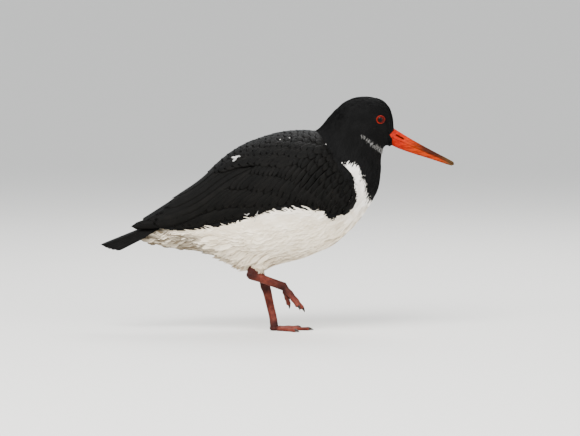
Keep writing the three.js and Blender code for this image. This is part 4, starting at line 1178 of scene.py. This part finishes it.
def make_eye(side, word):
    """Eyeball as circles round its axis: polar angle q gives radius R sin q and depth R cos q; the
    cornea bulges by 0.3 exp(-(q/0.5)^2). Then the ring as a torus flattened on the face."""
    q = np.linspace(0.02, np.pi - 0.02, 90)[:, None]
    turn = (np.arange(EYE_STEPS) / EYE_STEPS * TURN)[None, :]
    radius = EYE_RADIUS + CORNEA_BULGE * np.exp(-((q / 0.5) ** 2))
    centre = np.array([EYE[0], side * (eye_y + EYE_OUT - EYE_RADIUS - EYE_SUNK), EYE[1]])
    rings = np.stack([
        centre[0] + radius * np.sin(q) * np.cos(turn),
        centre[1] + side * radius * np.cos(q) + 0 * turn,
        centre[2] + radius * np.sin(q) * np.sin(turn),
    ], axis=-1)
    ends = [centre + np.array([0, side * r, 0]) for r in (EYE_RADIUS + CORNEA_BULGE, -EYE_RADIUS)]
    points, faces = closed_loft(rings, *ends)
    depth = np.concatenate([np.repeat(q, EYE_STEPS), [0.0, np.pi]])
    spokes = np.concatenate([(np.sin(turn * 31 + 3 * np.sin(q * 40)) * 0.12 + 0 * q).ravel(), [0, 0]])
    iris = rgb("#400302") * (1 + spokes[:, None])
    rim = rgb("#260302")
    pupil = rgb("#040404")
    edge = smooth(depth, IRIS_ANGLE, IRIS_ANGLE + 0.18)[:, None]
    hole = smooth(depth, PUPIL_ANGLE, PUPIL_ANGLE + 0.04)[:, None]
    tint = pupil * (1 - hole) + (iris * (1 - edge) + rim * edge) * hole
    ball = mesh_piece(f"eyeball_{word}", points, faces, colours=tint)
    settle(ball, wet_eye, (f"eye_{word}",))
    u = (np.arange(LID_STEPS) / LID_STEPS * TURN)[:, None]
    v = (np.arange(LID_SIDES) / LID_SIDES * TURN)[None, :]
    fold = 0.05 * np.sin(9 * u + 1.3) + 0.03 * np.sin(23 * u)
    thick = LID_TUBE + fold
    ring_radius = LID_RADIUS + 0.15 * np.cos(u - 0.3)
    away = ring_radius + thick * np.cos(v)
    lean = -side * math.radians(14)
    flat_x = away * np.cos(u) * (1 + 0.07 * np.cos(u))
    flat_y = side * (0.85 * thick * np.sin(v)) + 0 * u
    flat_z = away * np.sin(u) * 0.95
    turned_x = flat_x * math.cos(lean) - flat_y * math.sin(lean)
    turned_y = flat_x * math.sin(lean) + flat_y * math.cos(lean)
    lid_y = side * (eye_y + 0.35 - EYE_SUNK)
    points = np.stack([EYE[0] + turned_x, lid_y + turned_y, EYE[1] + flat_z], axis=-1)
    quads = grid_faces(LID_STEPS, LID_SIDES, wrap=True, close=True)
    if side > 0:
        quads = quads[:, ::-1]
    lids = mesh_piece(f"eye_lids_{word}", points.reshape(-1, 3), quads)
    settle(lids, orbital_skin, (f"eye_ring_{word}",))


make_eye(-1, "right")
make_eye(1, "left")

# %% [markdown]
# Legs are sinew and bone under tough skin. Small many-sided scales cover them, larger in front.
# Each limb is a path with an oval section whose two half widths change along it, like the solids.

# %% Legs and feet
LEFT_THIGH = [[-14, 20, 92, 11, 10], [-20, 18.5, 74, 8, 7.5], [-19.2, 17, 64.5, 4.6, 4.3],
              [-16, 15.2, 55, 4.3, 3.8], [-13.4, 13.6, 48.8, 5.6, 4.7]]
LEFT_SHIN = [[-13.4, 13.6, 48.8, 5.6, 4.7], [-11.2, 12, 42.5, 5, 4], [-8, 7.6, 29, 4.5, 3.4],
             [-4.6, 2.6, 15, 4.4, 3.5], [-3.2, 0.3, 4.6, 4.6, 4]]
RIGHT_THIGH = [[-12, -20, 92, 12, 10], [-18, -22, 80, 10, 9], [-25, -24.2, 71.5, 6.5, 6],
               [-28.6, -25.4, 67.2, 5.4, 4.9]]
RIGHT_SHIN = [[-31.6, -26.4, 66.1, 3.9, 3.6], [-28.5, -25.6, 64.9, 5.4, 4.8],
              [-18, -22.4, 60.9, 4.9, 3.8], [-4, -16.6, 55.2, 4.7, 3.6], [8, -11, 50.4, 4.8, 4.1]]
TOE_HALF_HEIGHT, TOE_PADS, CLAW_LENGTH = 2.9, 3, 6.5
BALL = (-3, 0, 2.6)
STANDING_TOES = {"inner": (-37, 29, 3.1), "middle": (1, 38, 3.3), "outer": (35, 32, 3.1)}
HANGING_TOES = {
    "inner": ((0.7, 1, -3), (0.7, 0.4, -2.6), 21, 3.8),
    "middle": ((2.4, 0, -2.6), (2, 0.2, -2.6), 31, 3.7),
    "outer": ((2.2, -1.8, -2.8), (1.8, -0.6, -2.6), 27, 3.7),
}


def leg_material():
    """Leg skin: dull coral red, in scales of 1.1 mm edged by darker, drier seams."""
    material, shader = new_material("scaled_leg_skin", 0.6, {"Specular IOR Level": 0.15})
    cells = pattern(material, "ShaderNodeTexVoronoi", {"Scale": 900.0, "feature": "DISTANCE_TO_EDGE"})
    seams = add_node(material, "ShaderNodeMapRange", {"From Min": 0.0, "From Max": 0.1},
                     Value=cells.outputs["Distance"]).outputs[0]
    cloud = pattern(material, "ShaderNodeTexNoise", {"Scale": 160.0, "Detail": 4.0}).outputs["Fac"]
    skin = ramp(material, cloud, [(0.3, "#451710"), (0.5, "#63271c"), (0.72, "#7d4032")])
    scaled = add_node(material, "ShaderNodeMix", {"data_type": "RGBA", 6: linear("#3f1a13")},
                      i0=seams, i7=skin).outputs[2]
    return finish(material, shader, point_tint(material, scaled), seams, 0.35, 0.0003)


def claw_material():
    """Claw horn: dark brown, satin, paler in worn patches 1.4 mm across."""
    material, shader = new_material("worn_claw_horn", 0.4, {"Specular IOR Level": 0.2})
    wear = pattern(material, "ShaderNodeTexNoise", {"Scale": 700.0, "Detail": 3.0}).outputs["Fac"]
    horn_colour = ramp(material, wear, [(0.35, "#130e0b"), (0.7, "#35261d")])
    return finish(material, shader, horn_colour, wear, 0.2, 0.0002)


scaled_skin = leg_material()
claw_horn = claw_material()


def path_frames(centres, upwards):
    """Forward, across and up vectors along a row of points: across = forward x upwards, made unit."""
    forward = unit(np.gradient(centres, axis=0))
    across = unit(np.cross(forward, np.asarray(upwards, float)))
    up = unit(np.cross(across, forward))
    return forward, across, up


def tube(centres, high, wide, upwards, columns=40):
    """Closed oval tube: centre + up * high * cos v + across * wide * sin v. Each end is a low dome:
    rings cos e of the size, 0.6 sin e of the half height further out."""
    forward, across, up = path_frames(centres, upwards)
    rise = np.radians([22, 45, 65, 80])
    out = 0.6 * np.sin(rise)[:, None]
    before = centres[0] - forward[0] * high[0] * out[::-1]
    after = centres[-1] + forward[-1] * high[-1] * out
    start = centres[0] - forward[0] * high[0] * 0.6
    end = centres[-1] + forward[-1] * high[-1] * 0.6
    dome = np.cos(rise)
    high, wide = (np.concatenate([a[0] * dome[::-1], a, a[-1] * dome])[:, None, None]
                  for a in (high, wide))
    count = len(rise)
    across, up = (np.concatenate([np.repeat(a[:1], count, 0), a, np.repeat(a[-1:], count, 0)])
                  for a in (across, up))
    middle = np.concatenate([before, centres, after])
    v = (np.arange(columns) / columns * TURN)[None, :, None]
    rings = middle[:, None] + up[:, None] * high * np.cos(v) + across[:, None] * wide * np.sin(v)
    return closed_loft(rings, start, end)


def limb(stations, rows, knots=0.0):
    """A limb through stations [x, y, z, half depth, half width], the depth from front to back, with
    ripples of the big front scales, one each 2.4 mm, knots mm high."""
    place = np.linspace(0, len(stations) - 1, rows)
    centres = points_of(stations, place)
    depth, width = columns_of(stations, place, (3, 4))
    run = np.concatenate([[0], np.cumsum(np.linalg.norm(np.diff(centres, axis=0), axis=1))])
    ripple = knots * np.abs(np.sin(run / 2.4 * np.pi))
    return tube(centres, width - knots + ripple, depth - knots + ripple, (0, 1, 0))


def toe_parts(centres, half_width, upwards, half_height):
    """A toe with its pads: size (1 - 0.3 t)(1 + 0.09 cos(2 pi 3 t)) and fine cross scales."""
    t = np.linspace(0, 1, len(centres))
    size = (1 - 0.3 * t) * (1 + 0.09 * np.cos(TURN * TOE_PADS * t)) - 0.03 * np.abs(np.sin(t * 42))
    return tube(centres, half_height * size, half_width * size, upwards, 32)


def claw_part(centres, half_width, upwards):
    """A blunt curved claw beyond the toe's end: size 0.62 (1 - t^1.6), dropping 1.5 t^2 mm."""
    forward, _, up = path_frames(centres, upwards)
    t = np.linspace(-0.2, 0.985, 28)
    size = (1 - np.maximum(t, 0) ** 1.6) * 0.62
    middle = centres[-1] + forward[-1] * CLAW_LENGTH * t[:, None] + up[-1] * (0.5 - 1.5 * t * t)[:, None]
    return tube(middle, TOE_HALF_HEIGHT * size, half_width * size * 0.9, upwards, 20)


def join_parts(parts):
    """Several sets of points and faces as one."""
    counts = np.cumsum([0] + [len(p) for p, _ in parts])
    points = np.concatenate([p for p, _ in parts])
    faces = np.concatenate([f + c for (_, f), c in zip(parts, counts)])
    return points, faces


def joint_painted_shade(points):
    """Painted shade, with some dirt: skin is darker and browner at the heels, under the belly feathers,
    and at the roots of the toes: white mixed with brown by exp(-((distance - 4.5) / reach)^2) for the
    nearest joint."""
    joints = np.array([LEFT_SHIN[0][:3], LEFT_SHIN[-1][:3], RIGHT_THIGH[-1][:3], RIGHT_SHIN[-1][:3]])
    away = np.linalg.norm(points[:, None] - joints[None], axis=-1)
    away = (np.maximum(away - 4.5, 0) / [5, 4, 5, 13]).min(axis=1)
    return 1 - np.exp(-(away**2))[:, None] * (1 - np.array([0.3, 0.26, 0.26]))


def leg_piece(name, parts, material, nodes, flat=False):
    """Puts parts in one mesh; a standing foot is pressed flat where it meets the floor at z = 0."""
    points, faces = join_parts(parts)
    if flat:
        points[:, 2] = np.maximum(points[:, 2], 0)
    # The point colours paint shade, with some dirt, at the heels and the roots of the toes.
    piece = mesh_piece(name, points, faces, colours=joint_painted_shade(points))
    settle(piece, material, nodes)


def standing_toe(heading, length):
    """Control points of a toe that lies on the floor, ahead of the ball of the foot."""
    turn = math.radians(heading)
    reach = np.array([-1, 5, length * 0.4, length * 0.7, length])
    height = np.append(4.4, TOE_HALF_HEIGHT * np.array([0.86, 0.78, 0.66, 0.56]))
    return np.stack([BALL[0] + reach * math.cos(turn), reach * math.sin(turn), height], axis=1)


def hanging_toe(root, tip, length):
    """Control points of a toe that hangs from the lifted foot: half along root, half along tip."""
    start = np.array(RIGHT_SHIN[-1][:3], float)
    middle = start + unit(np.array(root, float)) * length * 0.5
    end = middle + unit(np.array(tip, float)) * length * 0.5
    t = np.linspace(0, 1, 7)[:, None]
    return (1 - t) ** 2 * start + 2 * t * (1 - t) * middle + t * t * end


def ball_pad():
    """The pad under the ball of the standing foot, an ellipsoid."""
    v = np.linspace(0.05, np.pi - 0.05, 24)[:, None]
    u = (np.arange(36) / 36 * TURN)[None, :]
    rings = np.stack([BALL[0] + 5.4 * np.sin(v) * np.cos(u), 4.8 * np.sin(v) * np.sin(u),
                      BALL[2] + 3.4 * np.cos(v) + 0 * u], axis=-1)
    return closed_loft(rings, (BALL[0], 0, BALL[2] + 3.4), (BALL[0], 0, BALL[2] - 3.4))


def foot(shin, toes, upwards):
    """Parts of one shin with its toes, and its claws, from each toe's control points, half width and
    half height."""
    parts, claws = [limb(shin, 120, 0.12)], []
    for controls, half_width, half_height in toes:
        centres = points_of(controls, np.linspace(0, len(controls) - 1, 60))
        parts.append(toe_parts(centres, half_width, upwards, half_height))
        claws.append(claw_part(centres, half_width, upwards))
    return parts, claws


standing = [(standing_toe(heading, length), half_width, TOE_HALF_HEIGHT)
            for heading, length, half_width in STANDING_TOES.values()]
hanging = [(hanging_toe(root, tip, length), half_width, half_width * 0.95)
           for root, tip, length, half_width in HANGING_TOES.values()]
left_parts, left_claws = foot(LEFT_SHIN, standing, (0, 0, 1))
left_parts.insert(1, ball_pad())
right_parts, right_claws = foot(RIGHT_SHIN, hanging, (1, 0, 0.8))

leg_piece("leg_left", left_parts, scaled_skin, ("shin_left", "foot_left"), flat=True)
leg_piece("leg_right", right_parts, scaled_skin, ("shin_right", "foot_right"))


def shank(thigh):
    """The bare shank, whose upper end is drawn in to 0.6 of the thigh so that the feathers hide it."""
    hidden = thigh[1][:3] + [0.6 * thigh[1][3], 0.6 * thigh[1][4]]
    return limb([hidden] + thigh[2:], 60)


leg_piece("shank_skin_left", [shank(LEFT_THIGH)], scaled_skin, ("shank_left",))
leg_piece("shank_skin_right", [shank(RIGHT_THIGH)], scaled_skin, ("shank_right",))
leg_piece("claws_left", left_claws, claw_horn, [f"claw_left_{toe}" for toe in STANDING_TOES],
          flat=True)
leg_piece("claws_right", right_claws, claw_horn, [f"claw_right_{toe}" for toe in HANGING_TOES])
print("leg parts:", len(left_parts) + len(right_parts), "claws:", len(left_claws + right_claws))

# %% [markdown]
# Thighs are feathered like the belly, with short white leaves that run down the limb and hide where
# the leg leaves the body.

# %% Feathered thighs
THIGH_ROWS, THIGH_AROUND = 15, 26
THIGH_END = 1.45  # the place along the thigh's stations where its last row of feathers grows


def thigh_coat(stations, word):
    """Leaves in staggered rows down the thigh, 11 mm long above and 6.5 mm below, over a tube of
    down."""
    place = np.linspace(0.35, THIGH_END, THIGH_ROWS)
    centres = points_of(stations, place)
    depth, width = (a[:, None, None] * 0.82 for a in columns_of(stations, place, (3, 4)))
    forward, across, up = path_frames(centres, (0, 1, 0))
    stagger = (np.arange(THIGH_ROWS) % 2)[:, None] * TURN / (2 * THIGH_AROUND)
    turn = np.arange(THIGH_AROUND) / THIGH_AROUND * TURN + stagger
    turn = turn + rng.normal(0, 0.04, turn.shape)
    c, s = np.cos(turn)[..., None], np.sin(turn)[..., None]
    roots = centres[:, None] + up[:, None] * width * c + across[:, None] * depth * s
    normals = unit(up[:, None] * c + across[:, None] * s)
    lies = np.repeat(forward[:, None], THIGH_AROUND, axis=1)
    roots, normals, lies = (a.reshape(-1, 3) for a in (roots, normals, lies))
    n = len(roots)
    lengths = np.repeat(np.linspace(11, 6.5, THIGH_ROWS), THIGH_AROUND) * rng.uniform(0.85, 1.15, n)
    made = vanes(roots, normals, lies, lengths, lengths * 0.3, rng.normal(0.08, 0.03, n))
    uv = np.stack([(turn.ravel() / TURN) % 1, np.repeat(place / 3, THIGH_AROUND)], axis=1)
    coat_piece(f"coat_thigh_{word}", made, uv, white_tints(roots), white_feather, (f"thigh_{word}",))
    row = np.linspace(0, THIGH_END - 0.15, 30)
    depth, width = (a * 0.8 for a in columns_of(stations, row, (3, 4)))
    points, faces = tube(points_of(stations, row), width, depth, (0, 1, 0), 30)
    down = mesh_piece(f"thigh_skin_{word}", points, faces, colours=np.tile(WHITE_DOWN, (len(points), 1)))
    settle(down, underdown, (f"thigh_{word}",))


thigh_coat(LEFT_THIGH, "left")
thigh_coat(RIGHT_THIGH, "right")

# %% [markdown]
# The studio: a wide pale floor like a shallow bowl, so that every side has the same backdrop, one
# large soft light above and to the camera's left, a weaker one from the right, a third from behind,
# and a pale sky.

# %% Floor
def studio_floor():
    """Height over the distance r from the middle: level to 3.5 m, then (r - 3.5)^2 / 14, in metres."""
    count = 181
    steps = np.linspace(-9000, 9000, count)
    x, y = np.meshgrid(steps, steps, indexing="ij")
    z = 1000 * np.maximum(np.hypot(x, y) / 1000 - 3.5, 0) ** 2 / 14
    points = np.stack([x, y, z], axis=-1).reshape(-1, 3)
    return mesh_piece("studio_floor", points, grid_faces(count, count))


floor = studio_floor()
paper, paper_shader = new_material("pale_backdrop_paper", 0.9)
paper_shader.inputs["Base Color"].default_value = linear("#d9d7d2")
floor.data.materials.append(paper)

# %% Lights
def soft_light(name, place, target, size, power):
    """A square area light at place, in metres, that faces target."""
    data = bpy.data.lights.new(name, "AREA")
    data.size = size
    data.energy = power
    lamp = bpy.data.objects.new(name, data)
    way = np.array(target) - np.array(place)
    lamp.location = place
    lamp.rotation_euler = (math.acos(-way[2] / np.linalg.norm(way)), 0,
                           math.atan2(way[1], way[0]) - math.pi / 2)
    bpy.context.scene.collection.objects.link(lamp)


soft_light("key", (-0.7, -1.5, 1.9), (0, 0, 0.12), 1.4, 125)
soft_light("fill", (1.6, -1.6, 0.9), (0, 0, 0.12), 1.6, 46)
soft_light("back", (0.3, 1.0, 1.6), (0, 0, 0.15), 1.0, 28)
world = bpy.data.worlds.new("overcast")
world.use_nodes = True
sky = world.node_tree.nodes["Background"]
sky.inputs["Color"].default_value = linear("#e9edf2")
sky.inputs["Strength"].default_value = 1.35
bpy.context.scene.world = world

# %% [markdown]
# The camera looks at the bird's right side from nearly level, far off with a long lens, as a
# birdwatcher's does. One pixel of the photo is 1.12 mm at the bird, which sets the lens.

# %% Camera
MM_PER_PIXEL = 1.12
FRAME_WIDTH_PIXELS = 580
CAMERA_DISTANCE = 3.2
CAMERA_ELEVATION = math.radians(4)
ORIGIN_PIXEL, MIDDLE_PIXEL = (277, 331), (290, 218)  # of the frame's origin and the photo's middle
aim = np.array([MIDDLE_PIXEL[0] - ORIGIN_PIXEL[0], 0, ORIGIN_PIXEL[1] - MIDDLE_PIXEL[1]])
aim = aim * MM_PER_PIXEL / 1000
camera_data = bpy.data.cameras.new("camera")
camera_data.sensor_width = 36
camera_data.lens = 36 * CAMERA_DISTANCE / (FRAME_WIDTH_PIXELS * MM_PER_PIXEL / 1000)
camera = bpy.data.objects.new("camera", camera_data)
camera.location = aim + CAMERA_DISTANCE * np.array([0, -math.cos(CAMERA_ELEVATION),
                                                    math.sin(CAMERA_ELEVATION)])
camera.rotation_euler = (math.pi / 2 - CAMERA_ELEVATION, 0, 0)
bpy.context.scene.collection.objects.link(camera)
bpy.context.scene.camera = camera
print("lens", round(camera_data.lens, 1), "mm")
